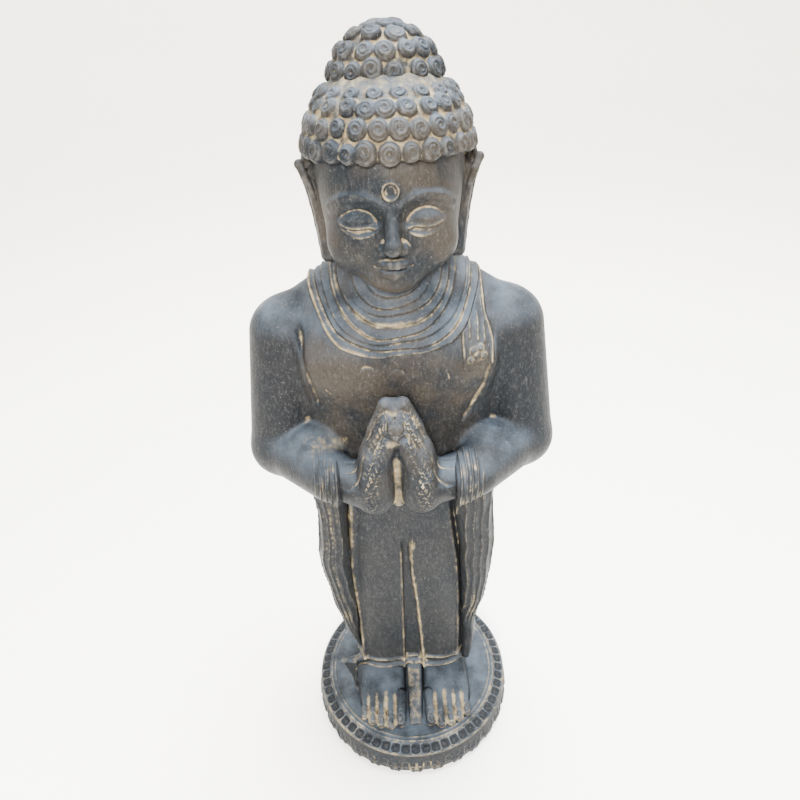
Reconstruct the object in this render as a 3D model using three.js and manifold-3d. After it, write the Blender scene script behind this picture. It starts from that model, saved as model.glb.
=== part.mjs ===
// A standing Buddha statue with joined palms, cast in stone in sections and pinned together on steel rods.
// Millimetres, +Z up. The figure faces -Y, and the origin is the centre of the face it stands on.
// Names with "left" and "right" are the statue's own left and right, so its left side is at +X.
import * as THREE from "three";
import { mergeVertices } from "three/addons/utils/BufferGeometryUtils.js";
import Module from "manifold-3d";

const wasm = await Module();
wasm.setup();

// Driving dimensions
const GAP = 0.3; // between neighbouring sections: the bed of fine mortar
const FELT_THICKNESS = 2;
const FELT_RADIUS = 74;
const BASE_TOP = 28;
const BASE_RADIUS = 81;
const PETALS = 36;
const BEADS = 60;
const HEM = 46; // underside of the robe, above the feet
const WAIST = 236; // joint between the robe section and the torso
const NECK_SEAT = 372; // joint between the torso and the neck

const ELBOW = [77, -5, 271];
const SHOULDER = [65, 6, 344];
const CUFF = [42, -46, 274.5];
const CUFF_AXIS = new THREE.Vector3(-0.8, -0.6, 0.02).normalize(); // from the elbow side towards the hand
const CUFF_LENGTH = 12;
const CUFF_RADIUS = 15.5;
const HANDS_ASIDE = -3.2; // the joined palms meet a little towards the right side
const RIGHT_FOOT_INWARD = 2.6; // and the right foot stands nearer the middle

const LEG_ROD = { x: 24, y: 10, radius: 3, bottom: 8, top: 320 };
const NECK_ROD = { y: -2, radius: 3, bottom: 330, top: 432 };
const CROWN_ROD = { y: 1, radius: 2, bottom: 456, top: 488 };
const WRIST_ROD = { radius: 2, reach: 15 };
const BORE_CLEARANCE = 0.3; // round a rod
const BORE_DEPTH = 1; // and past each end of it

const STONE = { color: 0x2f3236, roughness: 0.55, metalness: 0 };
const STEEL = { color: 0x8b8d90, roughness: 0.4, metalness: 1 };
const FELT = { color: 0x1c2a20, roughness: 1, metalness: 0 };

// Solids

// A closed geometry as a manifold-3d solid, with its shared vertices merged.
function solid(geometry) {
  const flat = geometry.index ? geometry.toNonIndexed() : geometry;
  const bare = new THREE.BufferGeometry();
  bare.setAttribute("position", flat.getAttribute("position"));
  const merged = mergeVertices(bare, 1e-4);
  return new wasm.Manifold(
    new wasm.Mesh({
      numProp: 3,
      vertProperties: merged.attributes.position.array,
      triVerts: new Uint32Array(merged.index.array),
    }),
  );
}

function geometryOf(manifold) {
  const mesh = manifold.getMesh();
  const geometry = new THREE.BufferGeometry();
  geometry.setAttribute("position", new THREE.BufferAttribute(mesh.vertProperties, 3));
  geometry.setIndex(new THREE.BufferAttribute(mesh.triVerts, 1));
  geometry.computeVertexNormals();
  return geometry;
}

function union(...solids) {
  return solids.reduce((joined, next) => joined.add(next));
}

function ellipsoid([x, y, z], [rx, ry, rz], grow = 0, tilt = 0, sides = 20) {
  const geometry = new THREE.SphereGeometry(1, sides, Math.round(sides * 0.6));
  geometry.rotateX(Math.PI / 2);
  geometry.scale(rx + grow, ry + grow, rz + grow);
  geometry.rotateX(tilt);
  geometry.translate(x, y, z);
  return solid(geometry);
}

function box([x0, y0, z0], [x1, y1, z1]) {
  const geometry = new THREE.BoxGeometry(x1 - x0, y1 - y0, z1 - z0);
  geometry.translate((x0 + x1) / 2, (y0 + y1) / 2, (z0 + z1) / 2);
  return solid(geometry);
}

// Turns a geometry that lies along +Y from its origin to lie along a direction from a point.
function aim(geometry, from, direction) {
  geometry.applyQuaternion(new THREE.Quaternion().setFromUnitVectors(new THREE.Vector3(0, 1, 0), direction));
  geometry.translate(...from);
  return geometry;
}

function rod(from, to, radius, sides = 16) {
  const start = new THREE.Vector3(...from);
  const along = new THREE.Vector3(...to).sub(start);
  const geometry = new THREE.CylinderGeometry(radius, radius, along.length(), sides);
  geometry.translate(0, along.length() / 2, 0);
  return solid(aim(geometry, from, along.clone().normalize()));
}

// A limb: two balls of different radius and the cone between them, as one turned profile.
function limb(from, to, radiusFrom, radiusTo, grow = 0, sides = 16, steps = 2) {
  const start = new THREE.Vector3(...from);
  const along = new THREE.Vector3(...to).sub(start);
  const length = along.length();
  const [ra, rb] = [radiusFrom + grow, radiusTo + grow];
  const lean = Math.asin((ra - rb) / length);
  const profile = [];
  for (let i = 0; i <= steps; i++) {
    const angle = -Math.PI / 2 + ((Math.PI / 2 + lean) * i) / steps;
    profile.push(new THREE.Vector2(i ? ra * Math.cos(angle) : 0, ra * Math.sin(angle)));
  }
  for (let i = 0; i <= steps; i++) {
    const angle = lean + ((Math.PI / 2 - lean) * i) / steps;
    profile.push(new THREE.Vector2(i < steps ? rb * Math.cos(angle) : 0, length + rb * Math.sin(angle)));
  }
  return solid(aim(new THREE.LatheGeometry(profile, sides), from, along.normalize()));
}

// A body lofted through level sections. Each station is [z, centre x, half width, front y, back y], and the
// outline at each level is a superellipse, a little squarer than an ellipse.
function lofted(stations, grow = 0, sides = 28, rings = 10, squareness = 2.4) {
  const middles = stations.map(([z, x, , front, back]) => new THREE.Vector3(x, (front + back) / 2, z));
  const reaches = stations.map(([, , half, front, back]) => new THREE.Vector3(half, (back - front) / 2, 0));
  const centres = new THREE.CatmullRomCurve3(middles);
  const halves = new THREE.CatmullRomCurve3(reaches);
  const geometry = new THREE.CylinderGeometry(1, 1, 1, sides, rings);
  geometry.rotateX(Math.PI / 2);
  const at = geometry.attributes.position;
  for (let i = 0; i < at.count; i++) {
    const share = Math.min(Math.max(at.getZ(i) + 0.5, 0), 1);
    const centre = centres.getPoint(share);
    const half = halves.getPoint(share);
    const angle = Math.atan2(at.getY(i), at.getX(i));
    const reach = Math.hypot(at.getX(i), at.getY(i));
    const bulge = (value) => Math.sign(value) * Math.abs(value) ** (2 / squareness);
    at.setXYZ(
      i,
      centre.x + reach * (half.x + grow) * bulge(Math.cos(angle)),
      centre.y + reach * (half.y + grow) * bulge(Math.sin(angle)),
      centre.z,
    );
  }
  return solid(geometry);
}

function mirrored([x, y, z], side) {
  return [x * side, y, z];
}

// A box on one side of the statue, given by its corners on the left side.
function boxOn(side, [x0, y0, z0], [x1, y1, z1]) {
  return side > 0 ? box([x0, y0, z0], [x1, y1, z1]) : box([-x1, y0, z0], [-x0, y1, z1]);
}

// The lotus base

// One turned body, with lotus petals round its wall as waves of the radius and beads round its shoulder as
// waves of the height.
function lotusBase() {
  const profile = [
    // [radius, z, petal wave, bead wave]
    [0, FELT_THICKNESS + GAP, 0, 0],
    [BASE_RADIUS - 2.5, FELT_THICKNESS + GAP, 0.6, 0],
    [BASE_RADIUS - 0.6, 9, 1.4, 0],
    [BASE_RADIUS - 1.6, 16, 0.8, 0],
    [BASE_RADIUS - 2.9, 22.6, 0, 0],
    [BASE_RADIUS - 2.2, 24.4, 0, 0],
    [BASE_RADIUS - 3.6, 25.2, 0, 0],
    [BASE_RADIUS - 6.7, 26.1, 0, 1.4],
    [BASE_RADIUS - 10, 26.9, 0, 0],
    [BASE_RADIUS - 12, BASE_TOP, 0, 0],
    [0, BASE_TOP, 0, 0],
  ];
  const sides = PETALS * 5; // also three to each bead
  const points = profile.map(([radius, z]) => new THREE.Vector2(radius, z));
  const geometry = new THREE.LatheGeometry(points, sides);
  geometry.rotateX(Math.PI / 2);
  const at = geometry.attributes.position;
  for (let i = 0; i < at.count; i++) {
    const [, , petalWave, beadWave] = profile[i % profile.length];
    const angle = Math.atan2(at.getY(i), at.getX(i));
    const petal = Math.abs(Math.cos((angle * PETALS) / 2)) - 0.5;
    const bead = Math.abs(Math.cos((angle * BEADS) / 2)) - 0.5;
    const radius = Math.hypot(at.getX(i), at.getY(i));
    const wanted = radius + petalWave * petal;
    at.setXYZ(i, wanted * Math.cos(angle), wanted * Math.sin(angle), at.getZ(i) + beadWave * bead);
  }
  return solid(geometry);
}

function feltDisc() {
  return rod([0, 0, 0], [0, 0, FELT_THICKNESS], FELT_RADIUS, 60);
}

// The feet

const TOES = [
  // [x, root y, tip y, radius], from the big toe outwards
  [13.5, -34, -60.5, 4.8],
  [21.7, -35, -61.5, 4.1],
  [29.3, -34, -59.5, 3.9],
  [36.5, -32, -56.5, 3.7],
  [43, -29, -52, 3.5],
];

function foot(side) {
  const instep = ellipsoid(mirrored([27.5, -10, 32], side), [20.5, 34, 17], 0, 0, 16);
  const heel = ellipsoid(mirrored([26, 14, 34], side), [17, 17, 16], 0, 0, 14);
  const toes = TOES.map(([x, root, tip, radius]) => {
    const z = BASE_TOP + GAP + radius;
    const knuckle = mirrored([x, root, z + 1], side);
    const end = mirrored([x, tip + radius, z], side);
    return limb(knuckle, end, radius, radius * 0.9, 0, 8);
  });
  const underHem = boxOn(side, [6, -80, BASE_TOP + GAP], [60, 60, HEM - GAP]);
  const whole = union(instep, heel, ...toes).intersect(underHem);
  return side > 0 ? whole : whole.translate([RIGHT_FOOT_INWARD, 0, 0]);
}

// The robe: the skirt from hem to waist, and a fall of pleats down each side of it

const SKIRT_STATIONS = [
  [HEM, 0, 44.5, -19, 42],
  [80, 0, 46, -22, 43],
  [120, 0, 49, -27, 45],
  [160, 0, 52.5, -31, 47],
  [200, 0, 55, -33, 48],
  [WAIST - GAP, 0, 57, -32, 46],
];

// The left fall reaches down to the hem, and the right one ends at the knee.
const LEFT_FALL_STATIONS = [
  [52, 45, 4.5, -16, 10],
  [80, 46.5, 5.5, -20, 11],
  [104, 46, 6.5, -25, 9],
  [128, 47, 7.5, -30, 9],
  [152, 48, 9.5, -35, 7],
  [178, 48.8, 10.5, -39, 3],
  [204, 48, 11, -43, -2],
  [230, 45.5, 12, -47, -9],
  [258, 43.5, 13.5, -50, -14],
];

const RIGHT_FALL_STATIONS = [
  [92, -45.5, 5, -23, 4],
  [110, -47, 6.5, -28, 6],
  [130, -48, 8, -32, 7],
  [152, -48.5, 9.3, -35.5, 6],
  [178, -49.5, 10.3, -39, 3],
  [204, -49.2, 10.6, -43, -2],
  [230, -47.5, 10, -46.5, -9],
  [258, -47, 11, -49.5, -14],
];

function fall(side, grow = 0) {
  return lofted(side > 0 ? LEFT_FALL_STATIONS : RIGHT_FALL_STATIONS, grow, 18, 10);
}

// The robe's corner flares out at the right end of the hem.
const HEM_CORNER = { root: [-38, -11, 54], tip: [-55.5, -18.5, 59], rootRadius: 5, tipRadius: 1.6 };

function hemCorner() {
  const { root, tip, rootRadius, tipRadius } = HEM_CORNER;
  return limb(root, tip, rootRadius, tipRadius, 0, 10);
}

// The fin between the feet runs forward from below the hem.
const FIN_STATIONS = [
  [BASE_TOP + GAP, 1.3, 4.2, -50, 20],
  [36, 1.3, 4.2, -37, 20],
  [HEM + 1, 1.3, 4.2, -17.5, 20],
];
const FIN_SQUARENESS = 4;

function fin() {
  return lofted(FIN_STATIONS, 0, 16, 4, FIN_SQUARENESS);
}

// The torso with its arms

const TORSO_STATIONS = [
  [WAIST, 0, 57, -32, 46],
  [262, 0, 60, -33, 46],
  [300, 0, 66, -35, 48],
  [335, 0, 72, -36, 48],
  [358, 0, 66, -32, 44],
  [NECK_SEAT + 4, 0, 44, -22, 36],
  [388, 0, 27, -16, 30],
];

const UPPER_ARM_RADII = [23.5, 20]; // at the shoulder and at the elbow
const FOREARM_RADII = [18.5, 15]; // at the elbow and at the cuff
const SLEEVE_CUT = { reach: 40, radius: 18.5 };
const HAND_CUT = { reach: 60, radius: 30 };
const CUFF_RIDGES = 4;
const CUFF_RIDGE = 0.8; // how far a ridge stands out from the cuff's radius
const CUFF_GROOVE = 0.4; // and how far a groove lies within it

// A round bar through a cuff along its sleeve, from one distance to another, counted from the cuff's middle
// towards the hand.
function alongSleeve(side, from, to, radius, sides = 24) {
  const axis = CUFF_AXIS.clone().multiply(new THREE.Vector3(side, 1, 1));
  const centre = new THREE.Vector3(...mirrored(CUFF, side));
  const start = centre.clone().addScaledVector(axis, from);
  const end = centre.clone().addScaledVector(axis, to);
  return rod(start.toArray(), end.toArray(), radius, sides);
}

// What lies past the elbow's face of a cuff, and what lies before its other face, the hand's.
function beyondSleeve(side) {
  return alongSleeve(side, -CUFF_LENGTH / 2 - GAP, SLEEVE_CUT.reach, SLEEVE_CUT.radius);
}

function beforeHand(side) {
  return alongSleeve(side, -HAND_CUT.reach, CUFF_LENGTH / 2 + GAP, HAND_CUT.radius);
}

function arm(side, grow) {
  const upper = limb(mirrored(SHOULDER, side), mirrored(ELBOW, side), ...UPPER_ARM_RADII, grow, 16);
  const lower = limb(mirrored(ELBOW, side), mirrored(CUFF, side), ...FOREARM_RADII, grow, 16);
  return upper.add(lower);
}

function torsoForm(grow = 0) {
  return union(lofted(TORSO_STATIONS, grow, 28, 9), arm(1, grow), arm(-1, grow));
}

function cuff(side) {
  const points = [new THREE.Vector2(0, -CUFF_LENGTH / 2)];
  for (let i = 0; i <= CUFF_RIDGES * 2; i++) {
    const radius = CUFF_RADIUS + (i % 2 ? CUFF_RIDGE : -CUFF_GROOVE);
    points.push(new THREE.Vector2(radius, -CUFF_LENGTH / 2 + (CUFF_LENGTH * i) / (CUFF_RIDGES * 2)));
  }
  points.push(new THREE.Vector2(0, CUFF_LENGTH / 2));
  const axis = CUFF_AXIS.clone().multiply(new THREE.Vector3(side, 1, 1));
  return solid(aim(new THREE.LatheGeometry(points, 24), mirrored(CUFF, side), axis));
}

// The hands, palm to palm with the fingers up

const FINGERS = [
  // [knuckle, tip, knuckle radius, tip radius]: index, middle, ring and little finger, then the thumb
  [[14, -47, 292], [4.6, -47, 322.5], 6.4, 4.6],
  [[14.4, -54, 292], [4.8, -52.5, 326.4], 6.4, 4.8],
  [[14, -61.5, 289], [4.6, -59.5, 320], 6.2, 4.5],
  [[12.4, -67.5, 283], [4.3, -66, 310.5], 6, 4.2],
  [[14, -43, 277], [5, -42.5, 300], 5.6, 4.4],
];

const PALM_STATIONS = [
  [261, 12.6, 7, -68, -51],
  [266, 13, 11.5, -72, -46],
  [277, 13, 12.2, -73.5, -42],
  [291, 11.2, 10.8, -73, -41],
  [306, 7.6, 7.3, -69, -42.5],
];

const WRIST = { hand: [20, -56, CUFF[2]], sleeve: [40, -46, CUFF[2]], radii: [12.4, 13] };
const HAND_ROOM = [
  [GAP / 2, -90, 240],
  [75, -20, 360],
];

function hand(side, grow = 0) {
  const placed = ([x, y, z]) => [x * side + HANDS_ASIDE, y, z];
  const stations = PALM_STATIONS.map(([z, x, ...rest]) => [z, x * side + HANDS_ASIDE, ...rest]);
  const palm = lofted(stations, grow, 16, 7, 2.2);
  const wrist = limb(placed(WRIST.hand), mirrored(WRIST.sleeve, side), ...WRIST.radii, grow);
  const fingers = FINGERS.map(([knuckle, tip, radiusFrom, radiusTo]) =>
    limb(placed(knuckle), placed(tip), radiusFrom, radiusTo, grow, 8),
  );
  const ownSide = boxOn(side, ...HAND_ROOM).translate([HANDS_ASIDE, 0, 0]);
  return union(palm, wrist, ...fingers).intersect(ownSide);
}

// The head, its cap of curls and the topknot

const BOW = THREE.MathUtils.degToRad(8); // the head leans forward

const NECK = { bottom: [0, 2, NECK_SEAT + GAP], top: [0, -6, 412], radius: 23 };
const EAR_SHELL = { centre: [42, -2, 430], radii: [5.5, 8, 14] };
const EAR_LOBE = { bottom: [35.5, -8, 393], top: [41, -5, 424], radii: [4, 4.5] };
const SKULL = { centre: [0, -4, 440], radii: [38.5, 43, 37] };
const CHEEKS = { centre: [0, -15, 415], radii: [34, 31, 32] };
const CHIN = { centre: [0, -33, 394], radii: [13, 9, 9] };
const NOSE = { bridge: [0, -44, 436], tip: [0, -48, 419], radii: [2.5, 4.5] };

function neck(grow = 0) {
  const [x, y, z] = NECK.bottom;
  return rod([x, y, z - grow], NECK.top, NECK.radius + grow, 24);
}

function ear(side, grow = 0) {
  const shell = ellipsoid(mirrored(EAR_SHELL.centre, side), EAR_SHELL.radii, grow, BOW, 12);
  const { bottom, top, radii } = EAR_LOBE;
  const lobe = limb(mirrored(bottom, side), mirrored(top, side), ...radii, grow, 8);
  return shell.add(lobe);
}

function headForm(grow = 0) {
  return union(
    ellipsoid(SKULL.centre, SKULL.radii, grow, BOW, 22),
    ellipsoid(CHEEKS.centre, CHEEKS.radii, grow, BOW, 20),
    ellipsoid(CHIN.centre, CHIN.radii, grow, BOW, 12),
    limb(NOSE.bridge, NOSE.tip, ...NOSE.radii, grow, 8),
    neck(grow),
    ear(1, grow),
    ear(-1, grow),
  );
}

// Where hair grows: above the brow in front, and down to the nape behind the ears.
const HAIRLINE = 449;
const NAPE = 404;
const BEHIND_EARS = 10;

function hairRegion() {
  const front = box([-60, -70, HAIRLINE], [60, BEHIND_EARS + 2, 520]);
  const nape = box([-60, BEHIND_EARS, NAPE], [60, 70, 520]);
  return front.add(nape);
}

const CURL_PITCH = 10.5;
const CURL_RELIEF = 2;
const CAP = { centre: [0, -4, 440], radii: [43, 47.5, 42] };
const KNOT = { centre: [0, 1, 475.4], radii: [28, 28, 26.6] };
const KNOT_SEAT = 468; // level of the joint under the topknot
const KNOT_BED = 0.9; // mortar under the topknot, measured from the tops of its curls

// An ellipsoid covered in curls, as staggered waves of its surface: level rows of domes, half a curl out of
// step from one row to the next.
function curled({ centre, radii }) {
  const across = Math.round((2 * Math.PI * radii[0]) / CURL_PITCH);
  const rows = Math.round((Math.PI * radii[2]) / CURL_PITCH);
  const geometry = new THREE.SphereGeometry(1, across * 2, rows * 2);
  geometry.rotateX(Math.PI / 2);
  const at = geometry.attributes.position;
  for (let i = 0; i < at.count; i++) {
    const way = new THREE.Vector3().fromBufferAttribute(at, i);
    const row = (Math.acos(THREE.MathUtils.clamp(way.z, -1, 1)) / Math.PI) * rows;
    const turn = (Math.atan2(way.y, way.x) * across) / 2 + (Math.floor(row) % 2) * (Math.PI / 2);
    const dome = Math.abs(Math.sin(Math.PI * row)) * Math.abs(Math.cos(turn));
    const relief = CURL_RELIEF * (dome - 1);
    at.setXYZ(i, ...["x", "y", "z"].map((axis, k) => centre[k] + way[axis] * (radii[k] + relief)));
  }
  return solid(geometry);
}

// The smooth ball inside an ellipsoid of curls.
function underCurls({ centre, radii }, grow = 0) {
  return ellipsoid(centre, radii, grow - CURL_RELIEF, 0, 20);
}

function curlCap() {
  const bed = underCurls(KNOT, CURL_RELIEF + KNOT_BED);
  return curled(CAP).intersect(hairRegion()).subtract(headForm(GAP)).subtract(bed);
}

function topknot() {
  const seat = box([-60, -60, KNOT_SEAT], [60, 60, 520]);
  return curled(KNOT).intersect(seat).subtract(headForm(GAP));
}

// Cloth edges in relief, each a thin shell that follows the torso

const COLLAR_THICKNESS = 2.6;
const COLLAR = { y: 6, radii: [47, 41], bottom: 345, height: 80 };
const SASH_THICKNESS = 2.4;
const SASH = { inner: 36, outer: 62, bottomFront: 318, bottomBack: 250 };

function shell(thickness, region) {
  return torsoForm(thickness).intersect(region).subtract(torsoForm(GAP)).subtract(neck(GAP));
}

function collarRegion(grow = 0) {
  const { y, radii, bottom, height } = COLLAR;
  const geometry = new THREE.CylinderGeometry(1, 1, height, 48);
  geometry.rotateX(Math.PI / 2);
  geometry.scale(radii[0] + grow, radii[1] + grow, 1);
  geometry.translate(0, y, bottom + height / 2);
  return solid(geometry);
}

function sashRegion() {
  const { inner, outer, bottomFront, bottomBack } = SASH;
  const front = box([inner, -60, bottomFront], [outer, 0, 420]);
  const back = box([inner, -0.5, bottomBack], [outer, 70, 420]);
  return front.add(back);
}

// Bores and rods

function legRod(side, grow = 0, stretch = 0) {
  const { x, y, radius, bottom, top } = LEG_ROD;
  return rod([x * side, y, bottom - stretch], [x * side, y, top + stretch], radius + grow);
}

function neckRod(grow = 0, stretch = 0) {
  const { y, radius, bottom, top } = NECK_ROD;
  return rod([0, y, bottom - stretch], [0, y, top + stretch], radius + grow);
}

function crownRod(grow = 0, stretch = 0) {
  const { y, radius, bottom, top } = CROWN_ROD;
  return rod([0, y, bottom - stretch], [0, y, top + stretch], radius + grow, 16);
}

function wristRod(side, grow = 0, stretch = 0) {
  const reach = WRIST_ROD.reach + stretch;
  return alongSleeve(side, -reach, reach, WRIST_ROD.radius + grow, 16);
}

function bored(form, ...rods) {
  return rods.reduce((left, each) => left.subtract(each), form);
}

const legBores = [legRod(1, BORE_CLEARANCE, BORE_DEPTH), legRod(-1, BORE_CLEARANCE, BORE_DEPTH)];
const neckBore = neckRod(BORE_CLEARANCE, BORE_DEPTH);
const crownBore = crownRod(BORE_CLEARANCE, BORE_DEPTH);

// The sections

function robeSkirt() {
  const cloth = union(lofted(SKIRT_STATIONS), hemCorner(), fin());
  return bored(cloth.subtract(fall(1, GAP)).subtract(fall(-1, GAP)), ...legBores);
}

function torso() {
  const wristBores = [1, -1].map((side) => wristRod(side, BORE_CLEARANCE, BORE_DEPTH));
  const cuts = [neck(GAP), fall(1, GAP), fall(-1, GAP), beyondSleeve(1), beyondSleeve(-1)];
  return bored(torsoForm(), ...cuts, ...legBores, neckBore, ...wristBores);
}

function sectionsBySide(side) {
  const name = side > 0 ? "left" : "right";
  const wristBore = wristRod(side, BORE_CLEARANCE, BORE_DEPTH);
  return [
    [name + "_foot", bored(foot(side), legRod(side, BORE_CLEARANCE, BORE_DEPTH)), STONE],
    [name + "_robe_fall", fall(side).subtract(beyondSleeve(side)), STONE],
    [name + "_sleeve_cuff", bored(cuff(side), wristBore), STONE],
    [name + "_hand", bored(hand(side).subtract(beforeHand(side)), wristBore), STONE],
    [name + "_leg_rod", legRod(side), STEEL],
    [name + "_wrist_dowel", wristRod(side), STEEL],
  ];
}

const sections = [
  ["felt_base", feltDisc(), FELT],
  ["lotus_base", bored(lotusBase(), ...legBores), STONE],
  ["robe_skirt", robeSkirt(), STONE],
  ["torso", torso(), STONE],
  ["collar_folds", shell(COLLAR_THICKNESS, collarRegion()), STONE],
  ["shoulder_sash", shell(SASH_THICKNESS, sashRegion()).subtract(collarRegion(GAP)), STONE],
  ["head", bored(headForm(), neckBore, crownBore), STONE],
  ["curl_cap", bored(curlCap(), crownBore), STONE],
  ["topknot", bored(topknot(), crownBore), STONE],
  ["neck_dowel", neckRod(), STEEL],
  ["crown_dowel", crownRod(), STEEL],
  ...sectionsBySide(1),
  ...sectionsBySide(-1),
];

const statue = new THREE.Group();
for (const [name, form, look] of sections) {
  const mesh = new THREE.Mesh(geometryOf(form), new THREE.MeshStandardMaterial(look));
  mesh.name = name;
  statue.add(mesh);
}

export default statue;
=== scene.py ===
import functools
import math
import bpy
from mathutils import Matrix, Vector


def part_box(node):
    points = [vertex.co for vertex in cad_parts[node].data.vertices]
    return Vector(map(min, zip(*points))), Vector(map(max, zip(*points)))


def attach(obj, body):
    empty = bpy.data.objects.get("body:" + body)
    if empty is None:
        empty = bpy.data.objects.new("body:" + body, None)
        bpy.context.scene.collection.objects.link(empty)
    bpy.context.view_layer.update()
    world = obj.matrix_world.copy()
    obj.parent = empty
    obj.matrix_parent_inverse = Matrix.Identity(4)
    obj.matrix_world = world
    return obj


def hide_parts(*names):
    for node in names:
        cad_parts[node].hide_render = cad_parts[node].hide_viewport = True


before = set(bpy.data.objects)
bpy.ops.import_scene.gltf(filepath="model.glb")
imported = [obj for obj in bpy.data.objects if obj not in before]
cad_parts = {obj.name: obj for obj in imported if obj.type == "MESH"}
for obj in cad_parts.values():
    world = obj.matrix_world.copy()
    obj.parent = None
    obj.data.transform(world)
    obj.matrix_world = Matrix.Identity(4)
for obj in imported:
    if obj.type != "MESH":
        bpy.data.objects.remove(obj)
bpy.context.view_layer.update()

# A standing Buddha statue in dark cast stone, sculpted round the imported frame. Each stone piece is a distance
# field in millimetres, meshed on a fine grid, and stands where its CAD nodes stand. The figure faces -Y, and
# its left side is at +X. Each vertex carries a wash: 1 is full of ochre, and below 0 is kept dark, free of
# ochre, dust and the painted sheen; in some gaps that is painted shade.
from concurrent.futures import ThreadPoolExecutor

import bmesh
import bpy
import numpy as np
from mathutils import Quaternion, Vector

MM = 0.001
FAR = 1000.0
BLOCK = 16  # grid points along one side of a block
REACH = 14.0  # mm beyond which a form has no effect on a block
SLACK = 5.0  # mm by which a distance may be wrong
MARGIN = 3  # empty grid cells round a form
HOLLOW_REACH = (1.0, 2.6)  # mm over which the surroundings of a point are levelled, close by and farther out
X, Y, Z = 0, 1, 2
SIDE = {1: "left", -1: "right"}


def box_of(node):
    """Lowest and highest corners of a CAD node in millimetres."""
    low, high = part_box(node)
    return np.array(low) / MM, np.array(high) / MM


# Distance fields


class Form:
    """A solid as a distance field, with the box that holds it."""

    def __init__(self, low, high, distance):
        self.low = np.array(low, float)
        self.high = np.array(high, float)
        self.distance = distance


def smooth_min(a, b, soft):
    if soft <= 0:
        return np.minimum(a, b)
    share = np.clip(0.5 + 0.5 * (b - a) / soft, 0, 1)
    return b + (a - b) * share - soft * share * (1 - share)


def smooth_max(a, b, soft):
    return -smooth_min(-a, -b, soft)


def step(value, start, end):
    """0 before start and 1 after end, with an eased slope between."""
    share = np.clip((value - start) / (end - start), 0, 1)
    return share * share * (3 - 2 * share)


def drop(value, start, end):
    """1 before start and 0 after end."""
    return 1 - step(value, start, end)


def bell(value, width):
    """1 in the middle, falling off on both sides."""
    return np.exp(-((value / width) ** 2))


def strongest(*values):
    return functools.reduce(np.maximum, values)


def column(vector):
    return np.array(vector, np.float32)[:, None]


def ellipsoid(centre, radii, tilt=0.0):
    """An ellipsoid, tilted about X by an angle in degrees."""
    middle, reach = column(centre), column(radii)
    cos, sin = math.cos(math.radians(tilt)), math.sin(math.radians(tilt))

    def distance(p):
        q = p - middle
        if tilt:
            q = np.stack([q[X], cos * q[Y] + sin * q[Z], cos * q[Z] - sin * q[Y]])
        near = np.sqrt(((q / reach) ** 2).sum(0)) + 1e-5
        slope = np.sqrt(((q / reach**2) ** 2).sum(0)) + 1e-5
        return near * (near - 1) / slope

    room = max(radii) if tilt else np.array(radii)
    return Form(np.array(centre) - room, np.array(centre) + room, distance)


def limb(start, end, radius_start, radius_end):
    """A round bar whose radius changes evenly from one end to the other."""
    a, b = np.array(start, float), np.array(end, float)
    along = column(b - a)
    length = float((along**2).sum())
    room = max(radius_start, radius_end)

    def distance(p):
        q = p - column(a)
        share = np.clip((q * along).sum(0) / length, 0, 1)
        away = q - along * share
        return np.sqrt((away**2).sum(0)) - (radius_start + (radius_end - radius_start) * share)

    return Form(np.minimum(a, b) - room, np.maximum(a, b) + room, distance)


def chain(points, radii, soft=0.0):
    """Limbs from point to point."""
    links = [limb(points[i], points[i + 1], radii[i], radii[i + 1]) for i in range(len(points) - 1)]
    return blended([(link, soft) for link in links])


def loft(stations):
    """Level sections along Z. A station is (z, centre x, half width, front y, back y, squareness)."""
    rows = np.array(stations, float)
    heights = np.linspace(rows[0, 0], rows[-1, 0], 160)
    table = [smooth_row(rows[:, 0], rows[:, k], heights) for k in range(1, 6)]

    def surface(x, y, z):
        cx, half, front, back, squareness = (np.interp(z, heights, values) for values in table)
        cy, depth = (front + back) / 2, (back - front) / 2
        dx, dy = x - cx, y - cy
        out = np.hypot(dx, dy) + 1e-5
        ratio = (np.abs(dx / half) ** squareness + np.abs(dy / depth) ** squareness) ** (1 / squareness)
        return out, out / np.maximum(ratio, 1e-4)

    def distance(p):
        out, wall = surface(p[X], p[Y], p[Z])
        wall_above = surface(p[X], p[Y], p[Z] + 1)[1]
        wall_below = surface(p[X], p[Y], p[Z] - 1)[1]
        slope = (wall_above - wall_below) / 2
        side = (out - wall) / np.sqrt(1 + slope**2)
        return np.maximum(side, np.maximum(rows[0, 0] - p[Z], p[Z] - rows[-1, 0]))

    low = [(rows[:, 1] - rows[:, 2]).min(), rows[:, 3].min(), rows[0, 0]]
    high = [(rows[:, 1] + rows[:, 2]).max(), rows[:, 4].max(), rows[-1, 0]]
    return Form(low, high, distance)


def smooth_row(at, values, wanted):
    """Values along a row of stations, as a smooth curve (a cubic with the mean slope at each station)."""
    slopes = np.gradient(values, at)
    i = np.clip(np.searchsorted(at, wanted) - 1, 0, len(at) - 2)
    width = at[i + 1] - at[i]
    t = (wanted - at[i]) / width
    return (
        (2 * t**3 - 3 * t**2 + 1) * values[i]
        + (t**3 - 2 * t**2 + t) * width * slopes[i]
        + (3 * t**2 - 2 * t**3) * values[i + 1]
        + (t**3 - t**2) * width * slopes[i + 1]
    )


def blended(parts):
    """Forms joined, each with its own softness. parts is [(form, softness), ...]."""
    lows = np.array([form.low for form, _ in parts])
    highs = np.array([form.high for form, _ in parts])

    def distance(p):
        near = np.all((lows - REACH <= p.max(1)) & (highs + REACH >= p.min(1)), axis=1)
        total = np.full(p.shape[1], FAR, np.float32)
        for (form, soft), close in zip(parts, near):
            if close:
                total = smooth_min(total, form.distance(p), soft)
        return total

    return Form(lows.min(0), highs.max(0), distance)


def carved(form, cutter, soft):
    def distance(p):
        return smooth_max(form.distance(p), -cutter.distance(p), soft)

    return Form(form.low, form.high, distance)


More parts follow.
